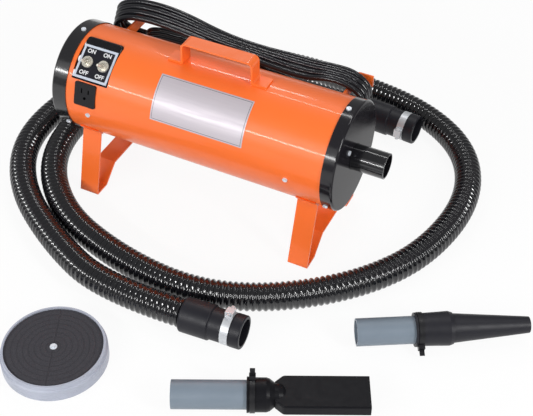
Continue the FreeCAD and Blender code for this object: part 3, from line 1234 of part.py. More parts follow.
def intake_filter():
    """A plastic ring that carries a foam disc on a grille, held by one screw in the middle."""
    def at_filter(name, obj):
        return node(name, move(obj, "filter_x", "filter_y"))

    bore, shelf = "filter_bore / 2", "(filter_bore / 2 - filter_ledge)"
    step, under = "(filter_height - filter_rim_height)", "filter_ledge_height - filter_ledge_thickness"
    ring = turned("filter_ring_blank", [
        (f"{bore} + filter_relief", "0"), ("filter_dia / 2", "0"), ("filter_dia / 2", step),
        ("(filter_dia + 3 * filter_rim_dia) / 8", f"{step} + filter_step"),
        ("filter_rim_dia / 2", "filter_height"), (bore, "filter_height"), (bore, "filter_ledge_height"),
        (shelf, "filter_ledge_height"), (shelf, under), (f"{bore} + filter_relief", under)], "V_Axis")
    at_filter("filter_ring", ring)
    inner = "(filter_bore / 2 - foam_fit)"
    level = "filter_ledge_height"
    rings = int(v.grille_rings)
    pieces = []
    for i in range(1, rings + 1):
        radius = f"({inner} * {i} / {rings})"
        out = cylinder(f"grille_out_{i}", radius, "grille_thickness", z=level)
        hole = cylinder(f"grille_in_{i}", f"{radius} - grille_bar", "grille_thickness + 2", z=f"{level} - 1")
        pieces.append(cut(f"grille_ring_{i}", out, hole))
    pieces.append(cylinder("grille_hub", "filter_washer_dia / 2", "grille_thickness", z=level))
    spokes = int(v.grille_spokes)
    for i in range(spokes):
        bar = box(f"grille_bar_{i}", f"2 * {inner} - 1", "grille_bar", "grille_thickness")
        holder = group(f"grille_spoke_{i}", [bar])
        holder.Placement = Placement(Vector(0, 0, v.filter_ledge_height), Rotation(AXIS_Z, i * 180 / spokes))
        pieces.append(holder)
    hole = cylinder("grille_hole", "filter_screw_dia / 2 + screw_hole_fit", "filter_height")
    at_filter("filter_grille", cut("grille_cut", fuse("grille_whole", *pieces), hole))
    foam_low = f"({level} + grille_thickness)"
    foam = cylinder("foam_disc", inner, "foam_thickness", z=foam_low)
    foam_hole = cylinder("foam_hole", "filter_screw_dia / 2 + screw_hole_fit", "filter_height")
    at_filter("filter_foam", cut("foam_cut", foam, foam_hole))
    top = f"({foam_low} + foam_thickness)"
    length = "(foam_thickness + grille_thickness + filter_screw_tail)"
    shank = cylinder("centre_shank", "filter_screw_dia / 2", length, z=f"{top} - {length}")
    washer = cylinder("centre_washer", "filter_washer_dia / 2", "filter_washer_thickness", z=top)
    head = cylinder("centre_head", "filter_screw_head_dia / 2", "filter_screw_head_height",
                    z=f"{top} + filter_washer_thickness")
    at_filter("filter_screw", fuse("centre_screw", shank, washer, head))


def motor(number, x):
    """One vacuum motor. Its bearings and brushes are returned, because they share nodes with the other's."""
    name = f"motor_{number}"
    face = "fan_case_length"

    def in_tube(label, obj):
        return node(label, move(obj, x, "0", "axis_height"))

    case_r = "fan_case_dia / 2"
    case = turned(f"{name}_case", [
        ("0", "fan_eye_dia / 2"), ("0", case_r), (face, case_r), (face, f"{case_r} - fan_case_wall"),
        ("fan_case_wall", f"{case_r} - fan_case_wall"), ("fan_case_wall", "fan_eye_dia / 2")])
    rim = v.fan_case_dia / 2
    rounded(case, "4 * fan_case_wall", lambda e: ring_edge(e, rim, 0.0))
    in_tube(f"{name}_fan_case", case)

    plate = f"({face} - frame_plate)"
    seat, boss = "(bearing_dia / 2 + seat_gap)", "(bearing_dia / 2 + bearing_boss)"
    hole = "(shaft_dia / 2 + shaft_clear)"
    end = f"({face} + cage_length)"
    frame = turned(f"{name}_frame_blank", [
        (plate, hole), (plate, f"{case_r} - fan_case_wall - seat_gap"),
        (face, f"{case_r} - fan_case_wall - seat_gap"), (face, "cage_dia / 2"), (end, "cage_dia / 2"),
        (end, boss), (f"{end} + bearing_width", boss), (f"{end} + bearing_width", seat),
        (f"{end} - bearing_sink", seat), (f"{end} - bearing_sink", hole), (f"{end} - frame_plate", hole),
        (f"{end} - frame_plate", "cage_dia / 2 - cage_wall"), (face, "cage_dia / 2 - cage_wall"),
        (face, boss), (f"{face} + bearing_width", boss), (f"{face} + bearing_width", seat),
        (f"{face} - bearing_sink", seat), (f"{face} - bearing_sink", hole)])
    windows = []
    for i, angle in enumerate((45, -45)):
        for j, (start, length) in enumerate((("window_start", "field_start - window_start - window_clear"),
                                             ("field_start + field_length + window_clear", "window_length"))):
            slot = box(f"{name}_window_{i}_{j}", length, "window_width", "2 * cage_dia",
                       f"{face} + {start} + ({length}) / 2", "0", "-cage_dia")
            holder = group(f"{name}_window_set_{i}_{j}", [slot])
            holder.Placement = Placement(Vector(), Rotation(AXIS_X, angle))
            windows.append(holder)
    ports = int(v.plate_ports)
    for i in range(ports):
        turn = f"{(i + 0.5) * 360 / ports}"
        windows.append(cylinder(f"{name}_port_{i}", "plate_port_dia / 2", "3 * frame_plate",
                                f"{plate} - frame_plate", f"plate_port_radius * cos({turn})",
                                f"plate_port_radius * sin({turn})", "x"))
    in_tube(f"{name}_frame", cut(f"{name}_frame_cut", frame, *windows))

    start, stop = f"({face} + field_start)", f"({face} + field_start + field_length)"
    coil_start, coil_stop = f"{start} - coil_length", f"({stop} + coil_length)"
    core_out, bore = "(cage_dia / 2 - cage_wall - seat_gap)", "(field_bore / 2)"
    coil_in, coil_out = f"{bore} + coil_step / 4", f"{core_out} - 1.25 * coil_step"
    field = turned(f"{name}_field_blank", [
        (start, bore), (coil_start, coil_in), (coil_start, coil_out), (start, f"{core_out} - coil_step"),
        (start, core_out), (stop, core_out), (stop, f"{core_out} - coil_step"), (coil_stop, coil_out),
        (coil_stop, coil_in), (stop, bore)])
    in_tube(f"{name}_field", field)

    core = "(field_bore / 2 - air_gap)"
    winding = f"{core} - coil_step"
    bars = coil_stop
    shaft = "shaft_dia / 2"
    armature = turned(f"{name}_armature_blank", [
        ("fan_gap", "0"), ("fan_gap", shaft), (f"{start} - winding_length", shaft),
        (f"{start} - winding_length", f"{winding} - coil_step"), (start, winding), (start, core),
        (stop, core), (stop, winding), (bars, "commutator_dia / 2 - shaft_clear"),
        (bars, "commutator_dia / 2"), (f"{bars} + commutator_length", "commutator_dia / 2"),
        (f"{bars} + commutator_length", shaft), (f"{end} + bearing_width", shaft),
        (f"{end} + bearing_width", "0")])
    in_tube(f"{name}_armature", armature)

    wheels = []
    for stage in range(2):
        low = f"(fan_case_wall + fan_gap * {stage + 1} + fan_depth * {stage})"
        wheels.append(impeller(f"{name}_stage_{stage}", low))
    hub_start = "(fan_gap + fan_hub_gap)"
    hub = cylinder(f"{name}_hub", "shaft_dia / 2 + fan_hub_wall", f"{plate} - {hub_start} - fan_hub_clear",
                   hub_start, along="x")
    bore_tool = cylinder(f"{name}_hub_bore", "shaft_dia / 2 + fan_hub_fit", "2 * fan_case_length",
                         "-fan_case_length / 2", along="x")
    in_tube(f"{name}_impellers", cut(f"{name}_fans", fuse(f"{name}_wheels", hub, *wheels), bore_tool))

    bearings = []
    for j, place in enumerate((f"({face} - bearing_sink)", f"({end} - bearing_sink)")):
        outer = cylinder(f"{name}_race_{j}", "bearing_dia / 2", "bearing_width", place, along="x")
        hole = cylinder(f"{name}_race_bore_{j}", "shaft_dia / 2 + shaft_fit", "3 * bearing_width",
                        f"{place} - bearing_width", along="x")
        bearings.append(cut(f"{name}_bearing_{j}", outer, hole))
    brushes = []
    for j, way in enumerate((1, -1)):
        inner = "commutator_dia / 2 + brush_gap"
        length = f"(cage_dia / 2 - cage_wall - brush_gap - ({inner}))"
        middle = f"{way} * ({inner} + {length} / 2)"
        brushes.append(box(f"{name}_brush_{j}", "brush_width", length, "brush_width",
                           f"{bars} + commutator_length / 2", middle, "-brush_width / 2"))
    return [[move(group(f"{piece.Name}_placed", [piece]), x, "0", "axis_height") for piece in pieces]
            for pieces in (bearings, brushes)]


def impeller(name, low):
    """Two discs with slanted vanes between them."""
    back = cylinder(f"{name}_back", "fan_dia / 2", "fan_sheet", f"{low} + fan_depth - fan_sheet", along="x")
    front_out = cylinder(f"{name}_front_out", "fan_dia / 2", "fan_sheet", low, along="x")
    eye = cylinder(f"{name}_eye", "fan_eye_dia / 2", "3 * fan_sheet", f"{low} - fan_sheet", along="x")
    pieces = [back, cut(f"{name}_front", front_out, eye)]
    count = int(v.fan_vanes)
    length = "(fan_dia / 2 - shaft_dia / 2 - 1.5 * fan_hub_clear)"
    for i in range(count):
        vane = box(f"{name}_vane_{i}", "fan_depth - fan_sheet", "fan_sheet", length, f"{low} + fan_depth / 2",
                   "0", "shaft_dia / 2 + fan_hub_clear")
        holder = group(f"{name}_vane_set_{i}", [vane])
        holder.Placement = Placement(Vector(), Rotation(AXIS_X, i * 360 / count))
        pieces.append(holder)
    return fuse(name, *pieces)


def rail_space(name, grow, x, length, beyond="0"):
    """The rails' section, front and rear, used for the rails and for the notches of the rings."""
    edge = "sqrt((tube_dia / 2 - tube_wall) ^ 2 - rail_width ^ 2 / 4) - rail_gap"
    pieces = []
    for j, angle in enumerate(RAIL_ANGLES):
        bar = box(f"{name}_bar_{j}", length, f"rail_width + 2 * {grow}",
                  f"rail_thickness + {grow} + {beyond}", x, "0", f"({edge}) - rail_thickness - {grow}")
        holder = group(f"{name}_turned_{j}", [bar])
        pieces.append(on_radius(holder, "0", angle))
    return pieces


def motor_mounts():
    """Two rails screwed inside the tube, and a rubber ring round each fan case."""
    middle = "(rail_screw_left + rail_screw_right) / 2"
    length = "rail_screw_right - (rail_screw_left) + 2 * rail_end"
    rails = rail_space("rail", "0", middle, length)
    holes = [screw_hole(f"rail_drill_{i}", x, angle) for i, (x, angle) in enumerate(RAIL_SCREWS)]
    drilled = [cut(f"rail_drilled_{j}", rail, holes[j], holes[j + 2]) for j, rail in enumerate(rails)]
    node("motor_rails", group("rail_set", drilled))
    for number in (1, 2):
        x = f"(motor_{number}_x + ring_place)"
        ring = tube_skin(f"ring_{number}", "fan_case_dia / 2 + seat_gap",
                         "tube_dia / 2 - tube_wall - ring_fit", x, "ring_length")
        notches = rail_space(f"notch_{number}", "ring_fit", x, "2 * ring_length", "rail_thickness")
        node(f"motor_ring_{number}", cut(f"ring_{number}_cut", ring, *notches))


def build():
    body_tube()
    caps()
    intake_screen()
    outlet_pipe()
    screws()
    handle()
    foot("left_foot", -1)
    foot("right_foot", 1)
    switch_panel()
    receptacle()
    label_plate()
    cord_hook("cord_hook_left", "hook_left_x", -1)
    cord_hook("cord_hook_right", "hook_right_x", 1)
    strain_relief()
    power_cord()
    plug()
    hose()
    clamps = [cuff(1, v.cuff_1_x, v.cuff_1_y, HOSE_ROUTE[0], v.clamp_1_roll),
              cuff(2, v.cuff_2_x, v.cuff_2_y, HOSE_ROUTE[-1], v.clamp_2_roll)]
    node("clamp_bands", group("band_set", [band for band, housing in clamps]))
    node("clamp_housings", group("housing_set", [housing for band, housing in clamps]))
    node("nozzle_ties", group("tie_set", [cone_nozzle(), flat_nozzle()]))
    intake_filter()
    motor_mounts()
    first_bearings, first_brushes = motor(1, "motor_1_x")
    second_bearings, second_brushes = motor(2, "motor_2_x")
    node("motor_bearings", group("bearing_set", first_bearings + second_bearings))
    node("motor_brushes", group("brush_set", first_brushes + second_brushes))


def check_and_export():
    doc.recompute()
    for obj in doc.Objects:
        if "Invalid" in obj.State or "Error" in obj.State:
            raise RuntimeError(f"{obj.Label} ({obj.Name}) failed: {obj.State}")
    bad = [name for name, obj in PARTS.items()
           if obj.Shape.isNull() or not obj.Shape.isValid() or not obj.Shape.Solids]
    if bad:
        raise RuntimeError("no valid solid: " + ", ".join(bad))
    os.makedirs("parts", exist_ok=True)
    for name, obj in PARTS.items():
        obj.Shape.exportStep(f"parts/{name}.step")
    print(len(PARTS), "nodes,", sum(len(obj.Shape.Solids) for obj in PARTS.values()), "solids")


build()
check_and_export()
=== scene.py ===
"""Looks of a canister pet dryer with its wound cord, free hose, nozzles and filter.

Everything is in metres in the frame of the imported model: +X along the tube to the outlet,
-Y the side of the switch panel, +Z up, with the origin on the floor between the feet.
"""

import math

import bmesh
import bpy
from mathutils import Matrix, Vector


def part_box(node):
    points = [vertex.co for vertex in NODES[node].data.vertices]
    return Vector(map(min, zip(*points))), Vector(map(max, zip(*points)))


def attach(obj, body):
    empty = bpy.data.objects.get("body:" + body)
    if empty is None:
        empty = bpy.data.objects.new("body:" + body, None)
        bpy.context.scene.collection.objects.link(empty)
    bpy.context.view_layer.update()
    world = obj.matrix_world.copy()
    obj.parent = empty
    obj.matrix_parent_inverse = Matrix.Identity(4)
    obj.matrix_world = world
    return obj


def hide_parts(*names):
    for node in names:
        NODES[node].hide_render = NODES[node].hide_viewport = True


UP = Vector((0, 0, 1))

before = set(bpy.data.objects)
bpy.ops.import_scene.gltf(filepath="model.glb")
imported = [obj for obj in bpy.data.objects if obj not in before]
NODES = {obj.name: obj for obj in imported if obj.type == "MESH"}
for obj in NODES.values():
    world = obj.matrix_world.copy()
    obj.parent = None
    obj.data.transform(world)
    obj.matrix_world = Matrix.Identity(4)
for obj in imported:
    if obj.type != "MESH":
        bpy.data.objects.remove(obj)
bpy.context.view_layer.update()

AXIS_HEIGHT = 0.178


# Camera, fitted to the photograph

IMAGE_WIDTH = 533
FOCAL_PIXELS = 1087.02
SENSOR = 36.0
CLIP_END = 50.0
CAMERA_PLACE = Vector((0.67872, -1.21940, 1.28581))
CAMERA_YAW, CAMERA_PITCH, CAMERA_ROLL = math.radians(25.537), math.radians(43.508), math.radians(0.55)


def add_camera():
    forward = Vector((-math.sin(CAMERA_YAW) * math.cos(CAMERA_PITCH),
                      math.cos(CAMERA_YAW) * math.cos(CAMERA_PITCH), -math.sin(CAMERA_PITCH)))
    level = Vector((math.cos(CAMERA_YAW), math.sin(CAMERA_YAW), 0))
    above = level.cross(forward)
    right = level * math.cos(CAMERA_ROLL) + above * math.sin(CAMERA_ROLL)
    up = above * math.cos(CAMERA_ROLL) - level * math.sin(CAMERA_ROLL)
    data = bpy.data.cameras.new("camera")
    data.sensor_width = SENSOR
    data.lens = FOCAL_PIXELS / IMAGE_WIDTH * SENSOR
    data.clip_end = CLIP_END
    camera = bpy.data.objects.new("camera", data)
    turned = Matrix((right, up, -forward)).transposed().to_4x4()
    camera.matrix_world = Matrix.Translation(CAMERA_PLACE) @ turned
    bpy.context.collection.objects.link(camera)
    bpy.context.scene.camera = camera


# Shader helpers

NOISE_ROUGHNESS = 0.55
NOISE_LOW, NOISE_HIGH = 0.3, 0.7


class Shader:
    """A material's node tree, with short names for the nodes that the materials share."""

    def __init__(self, name, colour, roughness, metallic=0.0, coat=0.0, coat_roughness=0.08, specular=0.5):
        self.material = bpy.data.materials.new(name)
        self.material.use_nodes = True
        self.tree = self.material.node_tree
        self.main = self.tree.nodes["Principled BSDF"]
        self.set("Base Color", (*colour, 1))
        self.set("Roughness", roughness)
        self.set("Metallic", metallic)
        self.set("Coat Weight", coat)
        self.set("Coat Roughness", coat_roughness)
        self.set("Specular IOR Level", specular)

    def set(self, socket, value):
        self.main.inputs[socket].default_value = value

    def link(self, source, target):
        self.tree.links.new(source, target)

    def node(self, kind, **values):
        made = self.tree.nodes.new(kind)
        for name, value in values.items():
            setattr(made, name, value)
        return made

    def place(self, stretch=(1, 1, 1), move=(0, 0, 0)):
        """The piece's own coordinates, measured from a moved origin and then stretched."""
        where = self.node("ShaderNodeTexCoord").outputs["Object"]
        shift = self.node("ShaderNodeVectorMath", operation="SUBTRACT")
        self.link(where, shift.inputs[0])
        shift.inputs[1].default_value = move
        scale = self.node("ShaderNodeVectorMath", operation="MULTIPLY")
        self.link(shift.outputs[0], scale.inputs[0])
        scale.inputs[1].default_value = stretch
        return scale.outputs[0]

    def noise(self, scale, detail, place=None):
        made = self.node("ShaderNodeTexNoise")
        made.inputs["Scale"].default_value = scale
        made.inputs["Detail"].default_value = detail
        made.inputs["Roughness"].default_value = NOISE_ROUGHNESS
        self.link(place if place is not None else self.place(), made.inputs["Vector"])
        return made.outputs["Fac"]

    def math(self, operation, first, second=0.0, third=0.0):
        made = self.node("ShaderNodeMath", operation=operation)
        for socket, value in zip(made.inputs, (first, second, third)):
            if isinstance(value, (int, float)):
                socket.default_value = value
            else:
                self.link(value, socket)
        return made.outputs[0]

    def remap(self, value, low, high, to_low, to_high):
        made = self.node("ShaderNodeMapRange")
        self.link(value, made.inputs["Value"])
        for name, number in (("From Min", low), ("From Max", high), ("To Min", to_low), ("To Max", to_high)):
            made.inputs[name].default_value = number
        return made.outputs["Result"]

    def span(self, noise, low=0, high=1):
        """A noise's usual range, spread between two values."""
        return self.remap(noise, NOISE_LOW, NOISE_HIGH, low, high)

    def mix_colour(self, factor, first, second):
        made = self.node("ShaderNodeMix", data_type="RGBA")
        self.link(factor, made.inputs[0])
        for socket, value in ((made.inputs[6], first), (made.inputs[7], second)):
            if isinstance(value, tuple):
                socket.default_value = (*value, 1)
            else:
                self.link(value, socket)
        return made.outputs[2]

    def colour(self, source):
        self.link(source, self.main.inputs["Base Color"])

    def roughness(self, source):
        self.link(source, self.main.inputs["Roughness"])

    def bump(self, *layers):
        """Each layer is (height, strength, distance)."""
        normal = None
        for height, strength, distance in layers:
            made = self.node("ShaderNodeBump")
            made.inputs["Strength"].default_value = strength
            made.inputs["Distance"].default_value = distance
            self.link(height, made.inputs["Height"])
            if normal is not None:
                self.link(normal, made.inputs["Normal"])
            normal = made.outputs["Normal"]
        self.link(normal, self.main.inputs["Normal"])

    def split(self, centre=(0, 0, 0)):
        """The three coordinates, measured from the centre."""
        parts = self.node("ShaderNodeSeparateXYZ")
        self.link(self.place(move=centre), parts.inputs[0])
        return parts.outputs

    def across(self, centre, axis):
        """The two coordinates across an axis through the centre."""
        parts = self.split(centre)
        return [parts[name] for name in "XYZ" if name != axis]

    def radius(self, centre, axis):
        """Distance from an axis through the centre."""
        squares = [self.math("MULTIPLY", side, side) for side in self.across(centre, axis)]
        return self.math("SQRT", self.math("ADD", *squares))

    def turn(self, centre, axis):
        """Angle round an axis through the centre."""
        first, second = self.across(centre, axis)
        return self.math("ARCTAN2", second, first)


# Materials

ORANGE = (0.96, 0.170, 0.022)
ORANGE_DEEP = (0.93, 0.150, 0.016)
BLACK_PAINT = (0.009, 0.009, 0.011)
BLACK_RUBBER = (0.010, 0.010, 0.013)
GREY_TUBE = (0.186, 0.228, 0.278)
GREY_DEEP = (0.170, 0.212, 0.258)
RING_WHITE = (0.36, 0.385, 0.46)
RING_PALE = (0.42, 0.445, 0.53)
PLATE_LILAC = (0.58, 0.535, 0.575)
PLATE_DEEP = (0.54, 0.495, 0.54)
PLATE_LINE = (0.16, 0.15, 0.17)
FOAM = (0.055, 0.054, 0.061)
FOAM_PALE = (0.064, 0.063, 0.072)
FOAM_DEEP = (0.042, 0.041, 0.049)
# Painted shade for the foam's pressed grooves.
FOAM_GROOVE_SHADE = (0.026, 0.025, 0.030)
COPPER = (0.34, 0.20, 0.11)
CORE_IRON = (0.22, 0.21, 0.22)


def paint_orange():
    s = Shader("orange_paint", ORANGE, 0.42, coat=0.30, coat_roughness=0.07)
    cloud = s.noise(9, 2)
    s.colour(s.mix_colour(s.remap(cloud, 0.35, 0.7, 0, 0.35), ORANGE, ORANGE_DEEP))
    s.roughness(s.span(s.noise(60, 3), 0.38, 0.48))
    s.bump((s.noise(420, 2), 0.06, 0.0004))
    return s.material


def paint_black(name="black_paint", roughness=0.15):
    s = Shader(name, BLACK_PAINT, roughness, coat=0.5, coat_roughness=0.12)
    s.roughness(s.span(s.noise(80, 3), roughness - 0.04, roughness + 0.07))
    s.bump((s.noise(300, 2), 0.02, 0.0003))
    return s.material


CAP_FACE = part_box("outlet_cap")[1][0]
FACE_DEPTH = 0.002
FACE_SPECULAR, RIM_SPECULAR = 0.06, 0.5
SPIN_PITCH = 0.0017


def paint_turned_cap():
    """Black paint over a spun sheet, with the fine rings of the spinning on its face."""
    s = Shader("black_turned_cap", (0.010, 0.009, 0.012), 0.13)
    radius = s.radius((0, 0, AXIS_HEIGHT), "X")
    rings = s.math("SINE", s.math("MULTIPLY", radius, 2 * math.pi / SPIN_PITCH))
    uneven = s.noise(700, 1, s.place((0.02, 1, 1)))
    s.bump((rings, 0.03, 0.00035), (uneven, 0.02, 0.0002))
    s.roughness(s.span(s.noise(40, 3), 0.10, 0.17))
    face = s.remap(s.split()["X"], CAP_FACE - FACE_DEPTH, CAP_FACE, RIM_SPECULAR, FACE_SPECULAR)
    s.link(face, s.main.inputs["Specular IOR Level"])
    return s.material


def zinc():
    s = Shader("zinc_screw", (0.80, 0.84, 0.90), 0.40, 0.4)
    s.roughness(s.span(s.noise(300, 3), 0.36, 0.52))
    return s.material


def sheet_steel():
    s = Shader("sheet_steel", (0.60, 0.60, 0.61), 0.32, 1.0)
    s.roughness(s.span(s.noise(160, 4), 0.24, 0.45))
    s.bump((s.noise(900, 2), 0.08, 0.0002))
    return s.material


def clamp_steel():
    s = Shader("clamp_steel", (0.66, 0.68, 0.71), 0.40, 0.5)
    s.roughness(s.span(s.noise(260, 3), 0.32, 0.50))
    s.bump((s.noise(700, 2, s.place((1, 1, 0.1))), 0.06, 0.0002))
    return s.material


def switch_silver():
    s = Shader("switch_plate_silver", (0.56, 0.61, 0.70), 0.38)
    s.roughness(s.span(s.noise(220, 3), 0.32, 0.46))
    return s.material


def nickel():
    s = Shader("nickel", (0.80, 0.76, 0.67), 0.26, 0.6)
    s.roughness(s.span(s.noise(260, 3), 0.20, 0.34))
    return s.material


def moulded_black(name="moulded_black", roughness=0.38, specular=0.3):
    s = Shader(name, (0.007, 0.007, 0.009), roughness, specular=specular)
    s.bump((s.noise(900, 3), 0.05, 0.0002))
    s.roughness(s.span(s.noise(120, 3), roughness - 0.05, roughness + 0.08))
    return s.material


def printed_black():
    s = Shader("printed_black", (0.008, 0.008, 0.014), 0.36, specular=0.3)
    s.roughness(s.span(s.noise(300, 2), 0.36, 0.5))
    return s.material


def printed_white():
    s = Shader("printed_white", (0.80, 0.81, 0.83), 0.5)
    s.roughness(s.span(s.noise(300, 2), 0.42, 0.6))
    return s.material


LABEL_CENTRE_X = 0.0118
LABEL_HALF_LENGTH = 0.0812
LABEL_HALF_TURN = math.radians(24.6)
LABEL_ANGLE = math.radians(180 - 39.9)
LABEL_RADIUS = 0.0896
BORDER_INSET, BORDER_WIDTH = 0.0026, 0.0009


def plate_aluminium():
    """A blank satin plate, brushed along the tube, with one thin dark line near its edges."""
    s = Shader("plate_aluminium", PLATE_LILAC, 0.42, 0.25)
    centre = (LABEL_CENTRE_X, 0, AXIS_HEIGHT)
    along = s.math("SUBTRACT", LABEL_HALF_LENGTH, s.math("ABSOLUTE", s.split(centre)["X"]))
    angle = s.math("ABSOLUTE", s.math("SUBTRACT", s.turn(centre, "X"), LABEL_ANGLE))
    around = s.math("MULTIPLY", s.math("SUBTRACT", LABEL_HALF_TURN, angle), LABEL_RADIUS)
    inset = s.math("MINIMUM", along, around)
    line = s.math("COMPARE", inset, BORDER_INSET, BORDER_WIDTH / 2)
    brush = s.noise(260, 3, s.place((0.04, 1, 1)))
    cloud = s.mix_colour(s.span(brush), PLATE_LILAC, PLATE_DEEP)
    s.colour(s.mix_colour(line, cloud, PLATE_LINE))
    s.roughness(s.span(brush, 0.36, 0.50))
    s.bump((brush, 0.08, 0.0002))
    return s.material


def cord_rubber():
    s = Shader("cord_rubber", BLACK_RUBBER, 0.18)
    s.bump((s.noise(200, 2), 0.015, 0.0003))
    s.roughness(s.span(s.noise(70, 3), 0.13, 0.22))
    return s.material


def hose_vinyl():
    s = Shader("hose_vinyl", (0.006, 0.006, 0.008), 0.13, coat=0.5, coat_roughness=0.05)
    s.roughness(s.span(s.noise(90, 3), 0.09, 0.18))
    s.bump((s.noise(180, 2), 0.02, 0.0004))
    return s.material


def nozzle_rubber():
    s = Shader("nozzle_rubber", (0.012, 0.012, 0.017), 0.44, specular=0.32)
    s.bump((s.noise(600, 3), 0.06, 0.0003))
    s.roughness(s.span(s.noise(60, 4), 0.38, 0.50))
    return s.material


def grey_plastic():
    s = Shader("grey_plastic", GREY_TUBE, 0.42)
    cloud = s.noise(24, 3)
    s.colour(s.mix_colour(s.span(cloud), GREY_TUBE, GREY_DEEP))
    s.bump((s.noise(300, 2), 0.04, 0.0003))
    return s.material


def tie_nylon():
    s = Shader("tie_nylon", (0.008, 0.008, 0.010), 0.35, specular=0.35)
    s.roughness(s.span(s.noise(200, 3), 0.3, 0.45))
    return s.material


RING_BAND_PITCH = 0.0062
RING_BAND_WAVER = 0.004


def ring_plastic():
    s = Shader("filter_ring_white", RING_WHITE, 0.40)
    cloud = s.noise(14, 3)
    s.colour(s.mix_colour(s.span(cloud), RING_WHITE, RING_PALE))
    waver = s.math("MULTIPLY", s.noise(22, 2), RING_BAND_WAVER)
    height = s.math("ADD", s.split()["Z"], waver)
    bands = s.math("SINE", s.math("MULTIPLY", height, 2 * math.pi / RING_BAND_PITCH))
    s.bump((bands, 0.22, 0.0006), (s.noise(260, 2), 0.05, 0.0003))
    return s.material


GRILLE_PITCH = 0.0086
GRILLE_LINE = 0.0014
GRILLE_ANGLE = math.radians(114.6)
RING_PRESS, CROSS_PRESS = 0.6, 0.25
PORE_SCALE = 900


def foam(centre):
    """Open foam with the rings and bars of its grille pressed into it, and painted shade that darkens the
    pressed grooves.
    """
    s = Shader("filter_foam", FOAM, 0.95, specular=0.25)
    pores = s.node("ShaderNodeTexVoronoi")
    pores.inputs["Scale"].default_value = PORE_SCALE
    s.link(s.place(), pores.inputs["Vector"])
    radius = s.radius(centre, "Z")
    ring = s.math("SINE", s.math("MULTIPLY", radius, 2 * math.pi / GRILLE_PITCH))
    ring = s.remap(ring, 0.55, 1.0, 0, 1)
    angle = s.math("SUBTRACT", s.turn(centre, "Z"), GRILLE_ANGLE)
    sideways = s.math("MULTIPLY", radius, s.math("ABSOLUTE", s.math("SINE", angle)))
    bar = s.remap(sideways, 0, GRILLE_LINE, 1, 0)
    across = s.math("MULTIPLY", radius, s.math("ABSOLUTE", s.math("COSINE", angle)))
    cross = s.math("MULTIPLY", s.remap(across, 0, GRILLE_LINE, 1, 0), CROSS_PRESS)
    pressed = s.math("MAXIMUM", s.math("MULTIPLY", ring, RING_PRESS), s.math("MAXIMUM", bar, cross))
    dent = s.math("SUBTRACT", 1.0, pressed)
    s.bump((dent, 0.55, 0.0012), (pores.outputs["Distance"], 0.5, 0.0006))
    speckle = s.mix_colour(s.remap(pores.outputs["Distance"], 0.1, 0.7, 0, 1), FOAM_PALE, FOAM_DEEP)
    # Painted shade: the colour darkens in the pressed rings and bars of the grille.
    s.colour(s.mix_colour(s.math("MULTIPLY", pressed, 0.5), speckle, FOAM_GROOVE_SHADE))
    return s.material


def brass():
    s = Shader("blade_brass", (0.80, 0.62, 0.32), 0.25, 1.0)
    s.roughness(s.span(s.noise(200, 3), 0.18, 0.36))
    return s.material


def copper_core():
    s = Shader("motor_core", (0.30, 0.20, 0.13), 0.5, 0.5)
    s.colour(s.mix_colour(s.remap(s.noise(140, 3), 0.35, 0.65, 0, 1), COPPER, CORE_IRON))
    return s.material


def cast_aluminium():
    s = Shader("cast_aluminium", (0.62, 0.62, 0.63), 0.42, 1.0)
    s.bump((s.noise(240, 4), 0.15, 0.0004))
    return s.material


# Mesh helpers

def add_mesh(name, vertices, faces, material, smooth=True):
    mesh = bpy.data.meshes.new(name)
    mesh.from_pydata(vertices, [], faces)
    mesh.validate()
    edit = bmesh.new()
    edit.from_mesh(mesh)
    bmesh.ops.recalc_face_normals(edit, faces=edit.faces)
    edit.to_mesh(mesh)
    edit.free()
    mesh.polygons.foreach_set("use_smooth", [smooth] * len(mesh.polygons))
    mesh.materials.append(material)
    piece = bpy.data.objects.new(name, mesh)
    bpy.context.collection.objects.link(piece)
    return piece


ROUTE_STEPS = 10
ROUTE_ORDER = 3


def nurbs_curve(name, points):
    data = bpy.data.curves.new(name, "CURVE")
    data.dimensions = "3D"
    data.resolution_u = ROUTE_STEPS
    spline = data.splines.new("NURBS")
    spline.points.add(len(points) - 1)
    for point, place in zip(spline.points, points):
        point.co = (*place, 1)
    spline.order_u = ROUTE_ORDER
    spline.use_endpoint_u = True
    curve = bpy.data.objects.new(name, data)
    bpy.context.collection.objects.link(curve)
    return curve


def centre_line(points):
    """Points along the spline that Blender draws through the route's control points."""
    curve = nurbs_curve("route", points)
    mesh = bpy.data.meshes.new_from_object(curve)
    line = [vertex.co.copy() for vertex in mesh.vertices]
    bpy.data.objects.remove(curve)
    bpy.data.meshes.remove(mesh)
    return line


HEADING_REACH = 0.004


class Line:
    """A polyline that gives a point and a heading at a distance along it."""

    def __init__(self, points):
        self.points = points
        self.at = [0.0]
        for a, b in zip(points, points[1:]):
            self.at.append(self.at[-1] + (b - a).length)
        self.length = self.at[-1]
        self.index = 0

    def point(self, distance):
        distance = min(max(distance, 0.0), self.length)
        while self.index > 0 and self.at[self.index] > distance:
            self.index -= 1
        while self.index < len(self.points) - 2 and self.at[self.index + 1] < distance:
            self.index += 1
        a, b = self.points[self.index], self.points[self.index + 1]
        share = (distance - self.at[self.index]) / (self.at[self.index + 1] - self.at[self.index])
        return a.lerp(b, share)

    def heading(self, distance):
        return (self.point(distance + HEADING_REACH) - self.point(distance - HEADING_REACH)).normalized()


# Hose

